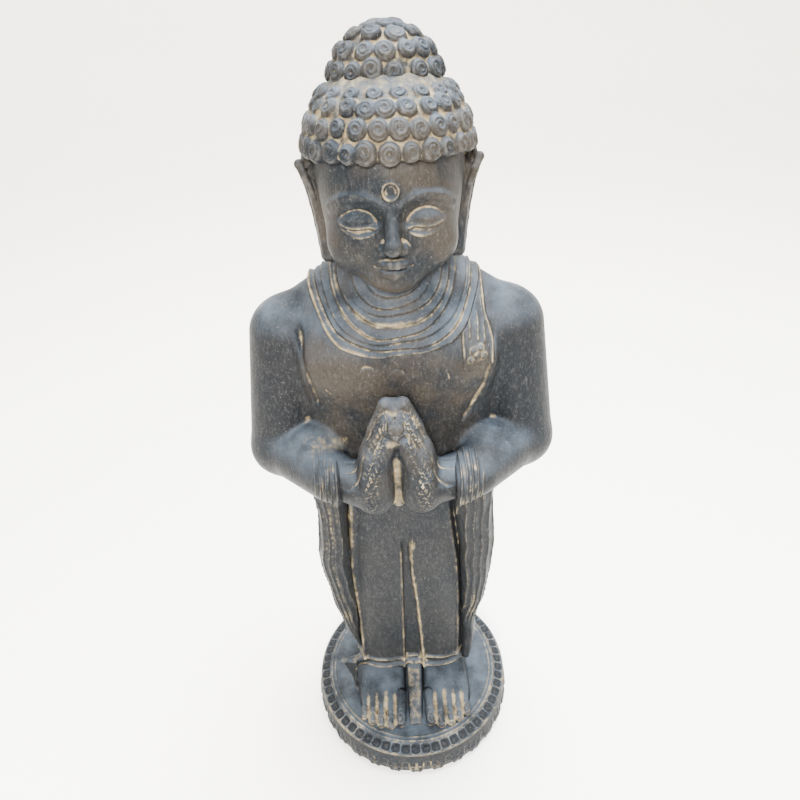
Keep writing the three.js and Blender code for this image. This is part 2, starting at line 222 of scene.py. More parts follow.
def cut_to(form, limit, soft=0.0):
    """The part of a form where limit(points) is below zero."""

    def distance(p):
        return smooth_max(form.distance(p), limit(p), soft)

    return Form(form.low, form.high, distance)


def raised(form, relief, most=4.0):
    """A form with relief added to its surface: relief(points) in millimetres, at most `most`."""

    def distance(p):
        return form.distance(p) - relief(p)

    return Form(form.low - most, form.high + most, distance)


def moved_x(form, by):
    """A form moved along X."""
    move = np.array((by, 0, 0))

    def distance(p):
        return form.distance(p - column(move))

    return Form(form.low + move, form.high + move, distance)


def mirror_x(point, side):
    """A point of the left side, placed on one side."""
    return (point[0] * side, *point[1:])


# Lines and ridges drawn on a surface, seen along one axis


def along_line(u, v, points):
    """Distance from a line through points in a plane, and the share of its length passed, 0 to 1."""
    best = np.full(u.shape, FAR, np.float32)
    share = np.zeros(u.shape, np.float32)
    count = len(points) - 1
    for i in range(count):
        (u0, v0), (u1, v1) = points[i], points[i + 1]
        du, dv = u1 - u0, v1 - v0
        t = np.clip(((u - u0) * du + (v - v0) * dv) / (du * du + dv * dv), 0, 1)
        away = np.hypot(u - u0 - t * du, v - v0 - t * dv)
        closer = away < best
        best = np.where(closer, away, best)
        share = np.where(closer, (i + t) / count, share)
    return best, share


def curved(points, count=16):
    """A smooth line through a few points."""
    rows = np.array(points, float)
    at = np.concatenate([[0], np.cumsum(np.hypot(*np.diff(rows, axis=0).T))])
    wanted = np.linspace(0, at[-1], count)
    return list(zip(smooth_row(at, rows[:, 0], wanted), smooth_row(at, rows[:, 1], wanted)))


def ridge(u, v, points, width, height, taper=0.12):
    """A rounded ridge along a line, fading at both ends. A negative height is a groove."""
    line = np.array(curved(points))
    low, high = line.min(0) - 3 * width, line.max(0) + 3 * width
    close = (u > low[0]) & (u < high[0]) & (v > low[1]) & (v < high[1])
    total = np.zeros(u.shape, np.float32)
    if close.any():
        away, share = along_line(u[close], v[close], line)
        ends = step(share, 0, taper) * drop(share, 1 - taper, 1)
        total[close] = height * bell(away, width) * ends
    return total


# Meshing


def fill_grid(form, low, counts, voxel):
    """The field on a grid: exact near the surface, and only its sign elsewhere."""
    blocks = -(-counts // BLOCK)
    size = BLOCK * voxel
    index = np.indices(blocks).reshape(3, -1)
    centres = (low[:, None] + (index + 0.5) * size).astype(np.float32)
    coarse = form.distance(centres).reshape(blocks)
    grid = np.empty(blocks * BLOCK, np.float32)
    view = grid.reshape(blocks[0], BLOCK, blocks[1], BLOCK, blocks[2], BLOCK).transpose(0, 2, 4, 1, 3, 5)
    view[:] = (np.sign(coarse) * FAR)[:, :, :, None, None, None]
    inner = (np.indices((BLOCK,) * 3).reshape(3, -1) * voxel).astype(np.float32)

    def fill(block):
        points = inner + (low + block * size)[:, None].astype(np.float32)
        view[tuple(block)] = form.distance(points).reshape((BLOCK,) * 3)

    close = np.argwhere(np.abs(coarse) < size * 0.95 + SLACK)
    with ThreadPoolExecutor(4) as pool:
        list(pool.map(fill, close))
    return grid


def surface_net(grid, low, voxel):
    """One vertex in each cell that the surface crosses, and one quad round each crossed grid edge."""
    inside = grid < 0
    steps = np.array([grid.shape[1] * grid.shape[2], grid.shape[2], 1])
    cells, crossings = [], []
    for axis in range(3):
        ahead = np.roll(inside, -1, axis)
        ahead[tuple(slice(-1, None) if k == axis else slice(None) for k in range(3))] = False
        at = np.argwhere(inside != ahead)
        unit = np.eye(3, dtype=int)[axis]
        here = grid[tuple(at.T)]
        there = grid[tuple((at + unit).T)]
        crossings.append(at + (here / (here - there))[:, None] * unit)
        u, v = steps[(axis + 1) % 3], steps[(axis + 2) % 3]
        corner = at @ steps
        ring = np.stack([corner - u - v, corner - v, corner, corner - u], 1)
        outward = inside[tuple(at.T)]
        cells.append(np.where(outward[:, None], ring, ring[:, ::-1]))
    cells = np.concatenate(cells)
    crossings = np.repeat(np.concatenate(crossings), 4, axis=0)
    names, quads = np.unique(cells.ravel(), return_inverse=True)
    amount = np.bincount(quads)
    points = np.stack([np.bincount(quads, crossings[:, k]) / amount for k in range(3)], 1)
    return low + points * voxel, quads.reshape(-1, 4)


def neighbours_mean(points, quads):
    """Each vertex's mean of its neighbours, as a function that can be applied again and again."""
    starts = quads.ravel()
    ends = np.roll(quads, -1, axis=1).ravel()
    amount = np.bincount(starts, minlength=len(points)) + np.bincount(ends, minlength=len(points))

    def mean(values):
        total = np.empty_like(values)
        for k, value in enumerate(values.T):
            before, after = value[starts], value[ends]
            total[:, k] = np.bincount(starts, after, len(points)) + np.bincount(ends, before, len(points))
        return total / amount[:, None]

    return mean


def vertex_normals(points, quads):
    across = points[quads[:, 2]] - points[quads[:, 0]]
    up = points[quads[:, 3]] - points[quads[:, 1]]
    faces = np.cross(across, up)
    corners = quads.ravel()
    normals = np.stack([np.bincount(corners, np.repeat(face, 4), len(points)) for face in faces.T], 1)
    return normals / (np.linalg.norm(normals, axis=1, keepdims=True) + 1e-9)


def hollows(points, quads, voxel):
    """How far each vertex lies below the mean of its surroundings, in mm, for each reach."""
    mean = neighbours_mean(points, quads)
    normals = vertex_normals(points, quads)
    found = []
    smooth = points
    passes = 0
    for radius in HOLLOW_REACH:
        wanted = int((radius / voxel) ** 2 * 2)
        while passes < wanted:
            smooth = mean(smooth)
            passes += 1
        depth = ((smooth - points) * normals).sum(1)[:, None]
        found.append(mean(mean(depth))[:, 0])
    return found


def add_object(name, data):
    item = bpy.data.objects.new(name, data)
    bpy.context.scene.collection.objects.link(item)
    return item


def sculpt(name, form, voxel, most, wash):
    """A closed mesh of a form, in metres, with its hollows and its wash of colour stored on the vertices."""
    low = form.low - MARGIN * voxel
    counts = np.ceil((form.high - form.low) / voxel).astype(int) + 2 * MARGIN + 1
    points, quads = surface_net(fill_grid(form, low, counts, voxel), low, voxel)
    near, wide = hollows(points, quads, voxel)
    mesh = bpy.data.meshes.new(name)
    mesh.vertices.add(len(points))
    mesh.vertices.foreach_set("co", (points * MM).astype(np.float32).ravel())
    mesh.loops.add(quads.size)
    mesh.loops.foreach_set("vertex_index", quads.ravel().astype(np.int32))
    mesh.polygons.add(len(quads))
    mesh.polygons.foreach_set("loop_start", np.arange(0, quads.size, 4, dtype=np.int32))
    mesh.update(calc_edges=True)
    painted = wash(points.T.astype(np.float32))
    for label, values in (("near", near), ("wide", wide), ("wash", painted)):
        mesh.attributes.new(label, "FLOAT", "POINT").data.foreach_set("value", values.astype(np.float32))
    mesh.shade_smooth()
    piece = add_object(name, mesh)
    triangles = 2 * len(quads)
    if triangles > most:
        thin_out(piece, most / triangles)
    return piece


def thin_out(piece, ratio):
    """Fewer triangles where the surface is nearly flat."""
    piece.modifiers.new("thin", "DECIMATE").ratio = ratio
    shown = piece.evaluated_get(bpy.context.evaluated_depsgraph_get())
    mesh = bpy.data.meshes.new_from_object(shown)
    piece.modifiers.clear()
    old = piece.data
    piece.data = mesh
    bpy.data.meshes.remove(old)
    mesh.name = piece.name
    mesh.shade_smooth()


def finish_stone(piece, *nodes):
    """Stands a piece in for its CAD nodes, in cast stone."""
    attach(piece, "root")
    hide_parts(*nodes)
    piece.data.materials.clear()
    piece.data.materials.append(stone())


# The plinth

PLINTH_GROWTH = 0.2  # mm from the outermost petal of the solid to the turned wall here
BASE_TOP = box_of("lotus_base")[1][Z]
BASE_RADIUS = box_of("lotus_base")[1][X] + PLINTH_GROWTH
BEADS = 60
PETALS = 30


def round_the_axis(p, count, offset=0.0):
    """Radius, and the distance round the axis to the middle of the nearest of `count` places."""
    radius = np.hypot(p[X], p[Y])
    turn = np.arctan2(p[Y], p[X]) * count / (2 * math.pi) + offset
    return radius, (turn - np.round(turn)) * 2 * math.pi / count * radius


def turned(profile, rounding):
    """A turned solid. The profile is (z, radius) from bottom to top."""
    heights, radii = np.array(profile, float).T

    def distance(p):
        radius = np.hypot(p[X], p[Y])
        wall = np.interp(p[Z], heights, radii)
        slope = (np.interp(p[Z] + 0.5, heights, radii) - np.interp(p[Z] - 0.5, heights, radii))
        side = (radius - wall) / np.sqrt(1 + slope**2)
        return smooth_max(side, np.maximum(heights[0] - p[Z], p[Z] - heights[-1]), rounding)

    room = radii.max()
    return Form([-room, -room, heights[0]], [room, room, heights[-1]], distance)


BEAD_RING = BASE_RADIUS - 6.7
BEAD_EDGE = 1.14  # where the groove round a bead is deepest, in its own measure
WALL_TOP = 15.5
RIMS = [
    # radius and height of the fine raised rings on the step
    (BASE_RADIUS - 14.6, 0.6),
    (BASE_RADIUS - 11.6, 0.55),
    (BASE_RADIUS - 2.3, 0.5),
]


def bead_place(p):
    """Radius, a measure that is below 1 on a bead (rounded squares in a ring), and 1 where the ring runs."""
    radius, across = round_the_axis(p, BEADS)
    bead = ((across / 3.5) ** 4 + ((radius - BEAD_RING) / 3.2) ** 4) ** 0.25
    return radius, bead, drop(np.abs(radius - BEAD_RING), 3.8, 4.4)


def petal_marks(p):
    """Petals with a rim, a heart and a pair of scrolls: the height, and how much of it is line."""
    across = round_the_axis(p, PETALS, 0.5)[1]
    down = (p[Z] - 2) / 13.5
    half = 6.4 * np.sqrt(np.clip(1 - np.clip(1 - down, 0, 1) ** 3, 0.02, 1))
    rim = bell(np.abs(across) - half + 0.8, 0.7)
    body = step(half - np.abs(across), 0, 1.2)
    heart = bell(across, 1.3) * step(p[Z], 4, 8)
    scroll = bell(np.hypot(np.abs(across) - 2.9, p[Z] - 9.5) - 1.9, 0.6)
    lines = strongest(rim, 0.8 * scroll, 0.7 * heart)
    return 0.6 * body + 0.9 * lines - 0.7, lines


def plinth_relief(p):
    """Beads and rims on the shoulder, and petals round the wall."""
    radius, bead, in_ring = bead_place(p)
    beads = 0.9 * drop(bead, 0.35, 0.85) + 1.1 * bell(bead - BEAD_EDGE, 0.17) - 0.8
    beads *= in_ring
    for rim_radius, rise in RIMS:
        beads += rise * bell(radius - rim_radius, 0.65)
    on_wall = step(radius, BASE_RADIUS - 7, BASE_RADIUS - 4) * drop(p[Z], WALL_TOP, WALL_TOP + 1)
    return np.where(p[Z] > BASE_TOP - 5, beads, petal_marks(p)[0] * on_wall)


def plinth_wash(p):
    """Ochre in the net between the beads and in the carved lines, most of all in front."""
    radius, bead, in_ring = bead_place(p)
    net = 0.5 * bell(bead - BEAD_EDGE, 0.18) * in_ring
    for rim_radius, _ in RIMS:
        net = np.maximum(net, 0.6 * bell(radius - rim_radius, 0.8))
    net = np.where((bead < 0.98) & (in_ring > 0.5), -0.9, net)
    front = 0.24 + 0.3 * bell(p[X], 26) * (p[Y] < 0)
    wall = np.where(petal_marks(p)[1] > 0.3, front, -0.3) * drop(p[Z], WALL_TOP, WALL_TOP + 1)
    return np.where(p[Z] > BASE_TOP - 5, net, wall)


def plinth():
    r, top = BASE_RADIUS, BASE_TOP
    low = box_of("lotus_base")[0][Z]
    profile = [
        # height and radius
        (low, r - 2.0),
        (low + 1.5, r - 1.0),
        (low + 8, r - 0.6),
        (low + 13, r - 1.3),
        (top - 5.4, r - 2.9),
        (top - 4.6, r - 2.6),
        (top - 3.6, r - 2.2),
        (top - 2.9, r - 3.4),
        (top - 1.1, r - 10.2),
        (top - 0.4, r - 11.0),
        (top, r - 12.2),
    ]
    form = raised(turned(profile, 0.5), plinth_relief, 1.5)
    finish_stone(sculpt("plinth", form, 0.7, 170000, plinth_wash), "lotus_base")


# The feet

SUNK = 0.6  # mm that the feet and the fins reach into the plinth
RIGHT_FOOT_INWARD = 2.6  # mm that the right foot stands nearer the middle
TOES = [
    # (x, root y, tip y, radius), from the big toe outwards
    (13.6, -36, -60.0, 4.5),
    (21.4, -37, -61.5, 3.9),
    (28.8, -36, -60.0, 3.7),
    (35.8, -34, -57.0, 3.5),
    (42.2, -31, -52.5, 3.3),
]


NAIL_HALF = (2.2, 2.6)  # half width and half length in mm
NAIL_BACK = 4.2  # mm from the tip of a toe to the middle of its nail
NAIL_GROOVE = 1.05


def foot_slab(side):
    """The foot behind its toes: a flat-topped block with steep sides."""

    def distance(p):
        x, y, z = p[X] * side, p[Y], p[Z]
        rise = np.interp(y, [-60, -50, -38, -28, -16, 0], [6.4, 8.8, 11.8, 14.6, 17.4, 20])
        top = (z - BASE_TOP - rise) * 0.95
        half = np.interp(y, [-54, -46, -30, -12, 10], [16.5, 18.5, 19.2, 18.4, 17])
        middle = np.interp(y, [-52, -30, 10], [28.2, 27.6, 27])
        crown = 0.012 * (x - middle) ** 2
        sides = np.abs(x - middle) - half
        front = -(y + 48) + 0.012 * (x - 20) ** 2
        ends = np.maximum(front, y - 24)
        body = smooth_max(smooth_max(top + crown, sides, 5), ends, 5)
        return np.maximum(body, BASE_TOP - SUNK - z)

    x0, x1 = sorted((5 * side, 49 * side))
    return Form([x0, -53, BASE_TOP - 1], [x1, 26, BASE_TOP + 20], distance)


def toenail(x, y, tip_x, tip_y):
    """Below 1 on a toe's nail, and a little above 1 in the groove round it."""
    return np.hypot((x - tip_x) / NAIL_HALF[X], (y - tip_y - NAIL_BACK) / NAIL_HALF[Y])


def foot(side):
    inward = RIGHT_FOOT_INWARD if side < 0 else 0.0
    parts = [(foot_slab(side), 0)]
    for x, root, tip, radius in TOES:
        ground = BASE_TOP + radius - SUNK
        points = [(x - 1.0, root, ground + 4.5), (x - 0.4, tip + 11, ground + 3.0), (x, tip + radius, ground)]
        toe = chain([mirror_x(point, side) for point in points], [radius * 0.95, radius * 0.88, radius])
        parts.append((toe, 1.2))
    form = moved_x(blended(parts), inward)

    def relief(p):
        x, y, z = (p[X] - inward) * side, p[Y], p[Z]
        total = np.zeros_like(x)
        above = step(z, BASE_TOP + 4, BASE_TOP + 6)
        for at, _, tip, radius in TOES:
            nail = toenail(x, y, at, tip)
            total += (0.35 * drop(nail, 0.75, 0.95) - 0.7 * bell(nail - NAIL_GROOVE, 0.18)) * above
            total -= 0.35 * bell(y - tip - 9.5, 0.8) * step(radius - np.abs(x - at), 0.4, 1.4)
        return total

    def wash(p):
        x, y = (p[X] - inward) * side, p[Y]
        toe_x, _, toe_tip, _ = zip(*TOES)
        gap = functools.reduce(np.minimum, [np.abs(x - (a + b) / 2) for a, b in zip(toe_x, toe_x[1:])])
        nails = [bell(toenail(x, y, at, tip) - NAIL_GROOVE, 0.25) for at, tip in zip(toe_x, toe_tip)]
        between_toes = 0.85 * bell(gap, 2.1) * drop(y, -40, -31)
        ends = np.interp(x, toe_x, toe_tip)
        round_tips = 0.6 * drop(y - ends, 0.6, 2.6) * drop(p[Z], BASE_TOP + 3, BASE_TOP + 6)
        return strongest(between_toes, round_tips, 0.55 * strongest(*nails))

    piece = sculpt(f"{SIDE[side]}_foot_stone", raised(form, relief, 1), 0.5, 60000, wash)
    finish_stone(piece, f"{SIDE[side]}_foot")


# The robed body, from the hem to the neck, with the arms

HEM = 46.0
WAIST = box_of("torso")[0][Z]
BODY = [
    # (z, centre x, half width, front y, back y, squareness)
    (HEM, 0.5, 43.5, -18, 41, 4.6),
    (80, 0.5, 45, -21, 43, 4.2),
    (120, 0.3, 48, -26, 45, 3.5),
    (160, 0, 51.5, -30, 47, 2.9),
    (200, 0, 54, -32, 48, 2.6),
    (236, 0, 55.5, -31, 46, 2.4),
    (262, 0, 58, -32, 45, 2.4),
    (300, 0, 63, -34, 47, 2.4),
    (335, 0, 65, -35, 48, 2.4),
    (356, 0, 58, -32, 45, 2.4),
    (372, 0, 42, -25, 38, 2.4),
    (386, 0, 26, -17, 31, 2.4),
    (396, 0, 14, -10, 24, 2.4),
]
NECK_SOCKET = ((0, 3, 372), (0, -4, 404))
SHOULDER = (65, 6, 345)
ELBOW = (77, -5, 271)
CUFF = (42, -46, 274.5)
CUFF_AXIS = np.array([-0.8, -0.6, 0.02])


def body_form():
    """The robed body with its arms, before its folds are drawn."""
    parts = [(loft(BODY), 0), (ellipsoid((0, 26, 214), (46, 24, 34)), 22)]
    for side in (1, -1):
        at = functools.partial(mirror_x, side=side)
        parts += [
            (limb(at((22, -10, 228)), at((22, -4, 62)), 22, 17), 7),
            (ellipsoid(at((27, -22, 336)), (27, 14.5, 20)), 14),
            (limb(at((16, 8, 388)), at((62, 7, 352)), 10, 16), 12),
            (limb(at(SHOULDER), at(ELBOW), 23.5, 20.5), 5),
            (limb(at(ELBOW), at(CUFF), 19, 15.5), 5),
            (ellipsoid(at((51, -24, 280 - side)), (17, 12, 14 - side)), 6),
        ]
    return blended(parts)


SKIRT_LINES = [
    # points as (z, x), width, height, colour
    ([(48, -5.9), (75, -5.7), (122, -5.1), (168, -4.5), (206, -4.0)], 1.3, 1.8, 0.5),
    ([(48, 9.6), (75, 9.3), (105, 7.7), (137, 6.2), (174, 3.1), (195, 2.8), (213, 4.3)], 1.6, 2.2, 0.66),
    ([(60, -38.5), (92, -38), (122, -37.5), (147, -38.6), (172, -39.5), (199, -37.5), (240, -35)],
     2.1, 2.4, 0.6),
    ([(58, -42.2), (92, -41.8), (122, -41.4), (147, -43.2), (172, -43.8), (199, -42), (240, -40)],
     2.0, -2.6, 0.0),
    ([(60, 41.4), (79, 41.0), (137, 40), (181, 37.5), (221, 32.5), (240, 31)], 1.6, -2.8, 0.1),
    ([(60, 37.6), (79, 37.4), (137, 36.6), (181, 34.4), (221, 29.5), (238, 28)], 1.4, 1.4, 0.4),
]
HEM_LINES = [
    # points as (x, z), width, height, colour
    ([(-46, 62), (-36, 62.5), (-22, 63.5), (-8, 62), (0, 61), (9, 62), (13, 65), (22, 64), (42, 62.5)],
     1.2, 1.9, 0.66),
    ([(-46, 59.5), (-20, 59.8), (0, 58.4), (20, 60.2), (42, 59.4)], 0.8, 0.5, 0.25),
    ([(-46, 51), (-30, 50.6), (-12, 51.2), (0, 51.4), (12, 50.2), (30, 50.2), (44, 51)], 1.4, 1.9, 0.62),
    ([(-44, 55.4), (-30, 55.2), (-12, 55.2), (0, 55), (12, 54.6), (30, 55.2), (44, 55.2)], 2.6, -2.1, 0.0),
]
HEM_KNOTS = [
    # (x, z, reach): lumps where the upright folds meet the hem
    (-38.6, 62, 4.5),
    (-5.9, 61.5, 3.2),
    (9.6, 64, 3.8),
    (37.8, 61.5, 3.6),
    (3.6, 201, 3.4),
    (-36.5, 226, 3.4),
]
CHEST_LINES = [
    # points as (z, x), width, height, colour
    ([(312, -48), (326, -50), (341, -53.5), (362, -56)], 1.8, -2.2, 0.45),
    ([(300, 37), (306, 41), (322, 48), (341, 52.5), (358, 53)], 1.9, -2.0, 0.55),
]
SCRATCHES = [
    # short tool marks on the chest, points as (x, z)
    [(-21, 341), (-18, 342.5), (-15, 341.5), (-12.5, 339.5)],
    [(-5, 338.6), (-1.5, 340), (1.5, 339), (3.4, 336)],
    [(26, 338), (27.5, 335), (27, 331)],
    [(-42, 328), (-38, 323), (-36, 319)],
    [(-33, 322), (-37, 318), (-35, 314)],
]


UPRIGHT_ENDS = (-3, 2, -10, 1)  # mm from a line's ends: where it starts and ends fading in, and fading out
LEVEL_ENDS = (-4, 0, 0, 4)
CHANNEL_DEPTH = 2.3  # mm, between the two lines of the central pleat
CHANNEL_SIDES = [
    # (z, x) up the right line and up the left one
    [(48, -5.9), (206, -4.0)],
    [(48, 9.6), (105, 7.7), (137, 6.2), (174, 3.1), (213, 4.3)],
]


def line_marks(along, across, lines, ends, front):
    """Ridges and grooves along lines, as height in mm and as colour."""
    height = np.zeros(along.shape, np.float32)
    colour = np.zeros(along.shape, np.float32)
    for points, width, rise, tint in lines:
        at, off = np.array(points, float).T
        shown = step(along, at[0] + ends[0], at[0] + ends[1])
        shown *= drop(along, at[-1] + ends[2], at[-1] + ends[3])
        mark = bell(across - np.interp(along, at, off), width) * (shown * front)
        height += rise * mark
        colour = np.maximum(colour, tint * mark)
    return height, colour


def body_marks(p):
    """The folds, hem and tool marks of the robe, as height in mm and as colour."""
    front = drop(p[Y], -16, -6)
    height, colour = line_marks(p[Z], p[X], SKIRT_LINES, UPRIGHT_ENDS, front)
    hem = line_marks(p[X], p[Z], HEM_LINES, LEVEL_ENDS, drop(p[Y], -10, 2))
    chest = line_marks(p[Z], p[X], CHEST_LINES, UPRIGHT_ENDS, front)
    for more_height, more_colour in (hem, chest):
        height += more_height
        colour = np.maximum(colour, more_colour)
    left, right = (np.interp(p[Z], *zip(*points)) for points in CHANNEL_SIDES)
    channel = step(p[X], left, left + 1.2) * drop(p[X], right - 1.2, right)
    height -= CHANNEL_DEPTH * channel * drop(p[Z], 198, 212) * front
    for x, z, reach in HEM_KNOTS:
        knot = np.exp(-(((p[X] - x) / reach) ** 2) - ((p[Z] - z) / reach / 1.4) ** 2) * front
        height += 0.7 * knot
        colour = np.maximum(colour, 0.8 * knot)
    for points in SCRATCHES:
        mark = ridge(p[X], p[Z], points, 0.7, 1.0) * front
        height -= 0.6 * mark
        colour = np.maximum(colour, 0.5 * mark)
    return height, colour


def hem_corner():
    """The robe's corner, which flares out to the right of the hem."""
    upper = chain([(-36, -11, 55), (-46, -15.5, 55.5), (-57, -19, 60)], [4.6, 3.0, 1.0])
    lower = chain([(-36, -10, 48), (-44, -14, 50.5), (-55, -18.3, 58.5)], [4.5, 3.0, 1.2])
    return blended([(upper, 0), (lower, 3)])


def corner_web():
    """The thin wall of stone that carries the corner, down to the plinth beside the foot."""

    def distance(p):
        outer = np.interp(p[Z], [BASE_TOP, 44, 59], [-47.2, -50.5, -56.6])
        side = np.maximum(outer - p[X], p[X] + 45.1)
        thick = np.abs(p[Y] + 18.6 + 0.16 * (59 - p[Z])) - 1.5
        body = smooth_max(side * 0.95, thick, 0.8)
        return np.maximum(body, np.maximum(BASE_TOP - SUNK - p[Z], p[Z] - 58.5))

    return Form([-58, -27, BASE_TOP - 1], [-44, -14, 59], distance)


def foot_web():
    """The fin of stone between the feet, which runs forward from below the central pleat."""

    def distance(p):
        ahead = np.clip((-14 - p[Y]) / 42, 0, 1)
        half = 6.7 - 1.3 * ahead
        side = np.abs(p[X] - 1.9 + 0.8 * ahead) - half
        top = (p[Z] - (54 - 25 * np.clip(ahead * 1.1, 0, 1) ** 0.75)) * 0.72
        top += 0.05 * (p[X] - 1.9) ** 2 - 0.9
        body = smooth_max(smooth_max(side, top, 2), np.maximum(-57 - p[Y], p[Y] - 30), 1.5)
        return np.maximum(body, np.maximum(BASE_TOP - SUNK - p[Z], p[Z] - 56))

    return Form([-9, -58, BASE_TOP - 1], [10, 30, 56], distance)


def robe_wash(p):
    """Ochre on the folds, the fin, the corner and the right forearm, and painted shade, with no ochre or sheen,
    in the gaps beside the falls and under the corner's tip.
    """
    x, y, z = p
    ahead = drop(y, -12, -4)
    fin = np.interp(y, [-50, -30, -16], [0.42, 0.55, 0.72]) * drop(z, HEM + 1, HEM + 3)
    fin *= drop(np.abs(x - 1), 3.8, 6.5) * drop(y, -10, 0)
    corner = step(-x, 34, 40) * drop(-x, 46, 52) * drop(z, 62, 68) * step(z, 56, 59)
    tip = step(-x, 45, 50) * step(z - np.interp(-x, [44, 57], [57, 61]), -1.2, 0.4)
    corner = np.maximum(corner, 0.7 * tip) * ahead * drop(z, 62, 67)
    forearm = 0.6 * np.exp(-(((x + 47) / 15) ** 2) - ((z - 287) / 8) ** 2 - ((y + 32) / 14) ** 2)
    colour = strongest(body_marks(p)[1], forearm, fin, 0.55 * corner)
    # Painted shade: the gaps beside the falls and the space under the corner's tip are kept dark, without ochre
    # or sheen.
    shade_under_tip = step(-x, 43, 45) * drop(z, 55, 57) * drop(y, -10, -6)
    shade_beside_falls = step(np.abs(x), 38.5, 40) * drop(z, 240, 250) * (1 - step(z, 62, 70) * (x < 0))
    return np.where(colour > 0.08, colour, -0.7 * np.maximum(shade_beside_falls, shade_under_tip))


def robe_and_torso():
    """The body as one form, cut at the waist into its two sections."""
    draped = raised(body_form(), lambda p: body_marks(p)[0])
    above_hem = cut_to(draped, lambda p: HEM + 1.2 * np.sin(p[X] * 0.11) - p[Z], 1.5)
    robe = carved(above_hem, limb(*NECK_SOCKET, 21, 21), 1)
    form = blended([(robe, 0), (hem_corner(), 3), (corner_web(), 1.5), (foot_web(), 1)])
    whole = sculpt("robe_and_torso", form, 0.85, 330000, robe_wash)
    upper = cut_level(whole, "torso_stone", WAIST, keep_above=True)
    lower = cut_level(whole, "robe_stone", WAIST, keep_above=False)
    bpy.data.objects.remove(whole)
    finish_stone(upper, "torso")
    finish_stone(lower, "robe_skirt")


def cut_level(piece, name, height, keep_above):
    """A copy of a piece on one side of a level plane, closed with a flat face."""
    mesh = piece.data.copy()
    bm = bmesh.new()
    bm.from_mesh(mesh)
    normal = (0, 0, -1) if keep_above else (0, 0, 1)
    everything = bm.verts[:] + bm.edges[:] + bm.faces[:]
    level = (0, 0, height * MM)
    cut = bmesh.ops.bisect_plane(bm, geom=everything, plane_co=level, plane_no=normal, clear_outer=True)
    rim = [edge for edge in cut["geom_cut"] if isinstance(edge, bmesh.types.BMEdge)]
    lids = bmesh.ops.holes_fill(bm, edges=rim, sides=0)["faces"]
    for face in lids:
        face.smooth = False
    for edge in rim:
        edge.smooth = False
    bmesh.ops.triangulate(bm, faces=lids)
    bm.to_mesh(mesh)
    bm.free()
    mesh.name = name
    return add_object(name, mesh)


# The pleats that hang from the forearms

FALL = {
    # for each side: (z, inner x, outer x, front y, back y)
    1: [
        (50, 41, 49, -15, 12),
        (70, 41, 51, -18, 12),
        (90, 41, 52, -20, 11),
        (104, 39.5, 51.5, -23.5, 10),
        (125, 38.8, 53, -28, 9),
        (140, 38.2, 56, -32, 8),
        (158, 37.6, 57.5, -35, 7),
        (180, 36.4, 59, -38.5, 3),
        (200, 35.4, 59.5, -41.5, 0),
        (222, 33, 58, -44.5, -6),
        (240, 31.5, 56, -47.5, -8),
        (268, 28, 57.5, -53, -14),
    ],
    -1: [
        (70, 38, 41.5, -15, 6),
        (80, 39, 44, -18, 7),
        (93, 40, 47.5, -21, 8),
        (104, 39, 50.5, -24, 8),
        (125, 38.8, 53.5, -28, 9),
        (140, 38.6, 56, -32, 8),
        (158, 38.6, 57, -35, 7),
        (180, 39, 59.5, -38.5, 3),
        (200, 38.5, 60, -41.5, 0),
        (222, 38, 57.5, -44.5, -6),
        (240, 37, 55.5, -47, -10),
        (268, 36, 57.5, -51, -16),
    ],
}
PLEATS = 5
FALL_BACK = (-16, 0)  # y over which the pleats fade out towards the back


def robe_fall(side):
    stations = [(z, (a + b) / 2 * side, (b - a) / 2, front, back, 3.0) for z, a, b, front, back in FALL[side]]
    zs, inner, outer = np.array(FALL[side], float).T[:3]

    def crest(p):
        sway = 0.16 * np.sin(p[Z] / 15 + side) + 0.09 * np.sin(p[Z] / 6.1 + 2 * side)
        start, end = np.interp(p[Z], zs, inner), np.interp(p[Z], zs, outer)
        across = (p[X] * side - start + 0.1 * (p[Y] + 40)) / (end - start) * PLEATS + sway
        return 1 - np.abs(np.sin(math.pi * across))

    def relief(p):
        fade = step(p[Z], 100, 118) * drop(p[Y], *FALL_BACK)
        return (1.5 * crest(p) ** 1.6 - 0.5) * fade

    def wash(p):
        fade = step(p[Z], 104, 120) * drop(p[Y], *FALL_BACK)
        return 0.42 * step(crest(p), 0.6, 0.95) * fade

    piece = sculpt(f"{SIDE[side]}_fall_stone", raised(loft(stations), relief, 2), 0.65, 60000, wash)
    finish_stone(piece, f"{SIDE[side]}_robe_fall")


# The cuffs and hands

LEAN = -3.2  # mm that the joined hands and the cuffs sit towards the right side
PALM_GAP = 0.25  # mm from the plane where the palms meet to each of them
CUFF_MIDDLE = 41.5
CUFF_RADIUS = 14.7
CUFF_HALF = 9.0
CUFF_PLEAT = 3.3  # mm from crest to crest


def arm_axis(p, side):
    """Distance out from the forearm's axis at the cuff."""
    axis = column(CUFF_AXIS * (side, 1, 1) / np.linalg.norm(CUFF_AXIS))
    q = p - column(mirror_x(CUFF, side))
    along = (q * axis).sum(0)
    return np.sqrt(np.maximum((q**2).sum(0) - along**2, 0))


def sleeve_cuff(side):
    """The sleeve's edge: upright folds round the forearm, level with the folds that hang below."""
    middle = CUFF_MIDDLE * side + LEAN

    def crest(p):
        across = (p[X] - middle) * side
        return 1 - np.abs(np.sin(math.pi * (across + 0.6 * np.sin(p[Z] / 5.3 + side)) / CUFF_PLEAT))

    def distance(p):
        across = (p[X] - middle) * side
        under = drop(p[Z], 262, 268)
        radius = CUFF_RADIUS - 0.5 * under + 0.06 * across + (1.3 - 0.7 * under) * crest(p) ** 1.4
        return smooth_max((arm_axis(p, side) - radius) * 0.9, np.abs(across) - CUFF_HALF, 5.0)

    def wash(p):
        return 0.5 * step(crest(p), 0.5, 0.95) * step(arm_axis(p, side), 12, 14)

    centre = np.array((middle, *CUFF[1:]))
    room = (11, 30, 20)
    form = Form(centre - room, centre + room, distance)
    piece = sculpt(f"{SIDE[side]}_cuff_stone", form, 0.55, 40000, wash)
    finish_stone(piece, f"{SIDE[side]}_sleeve_cuff")


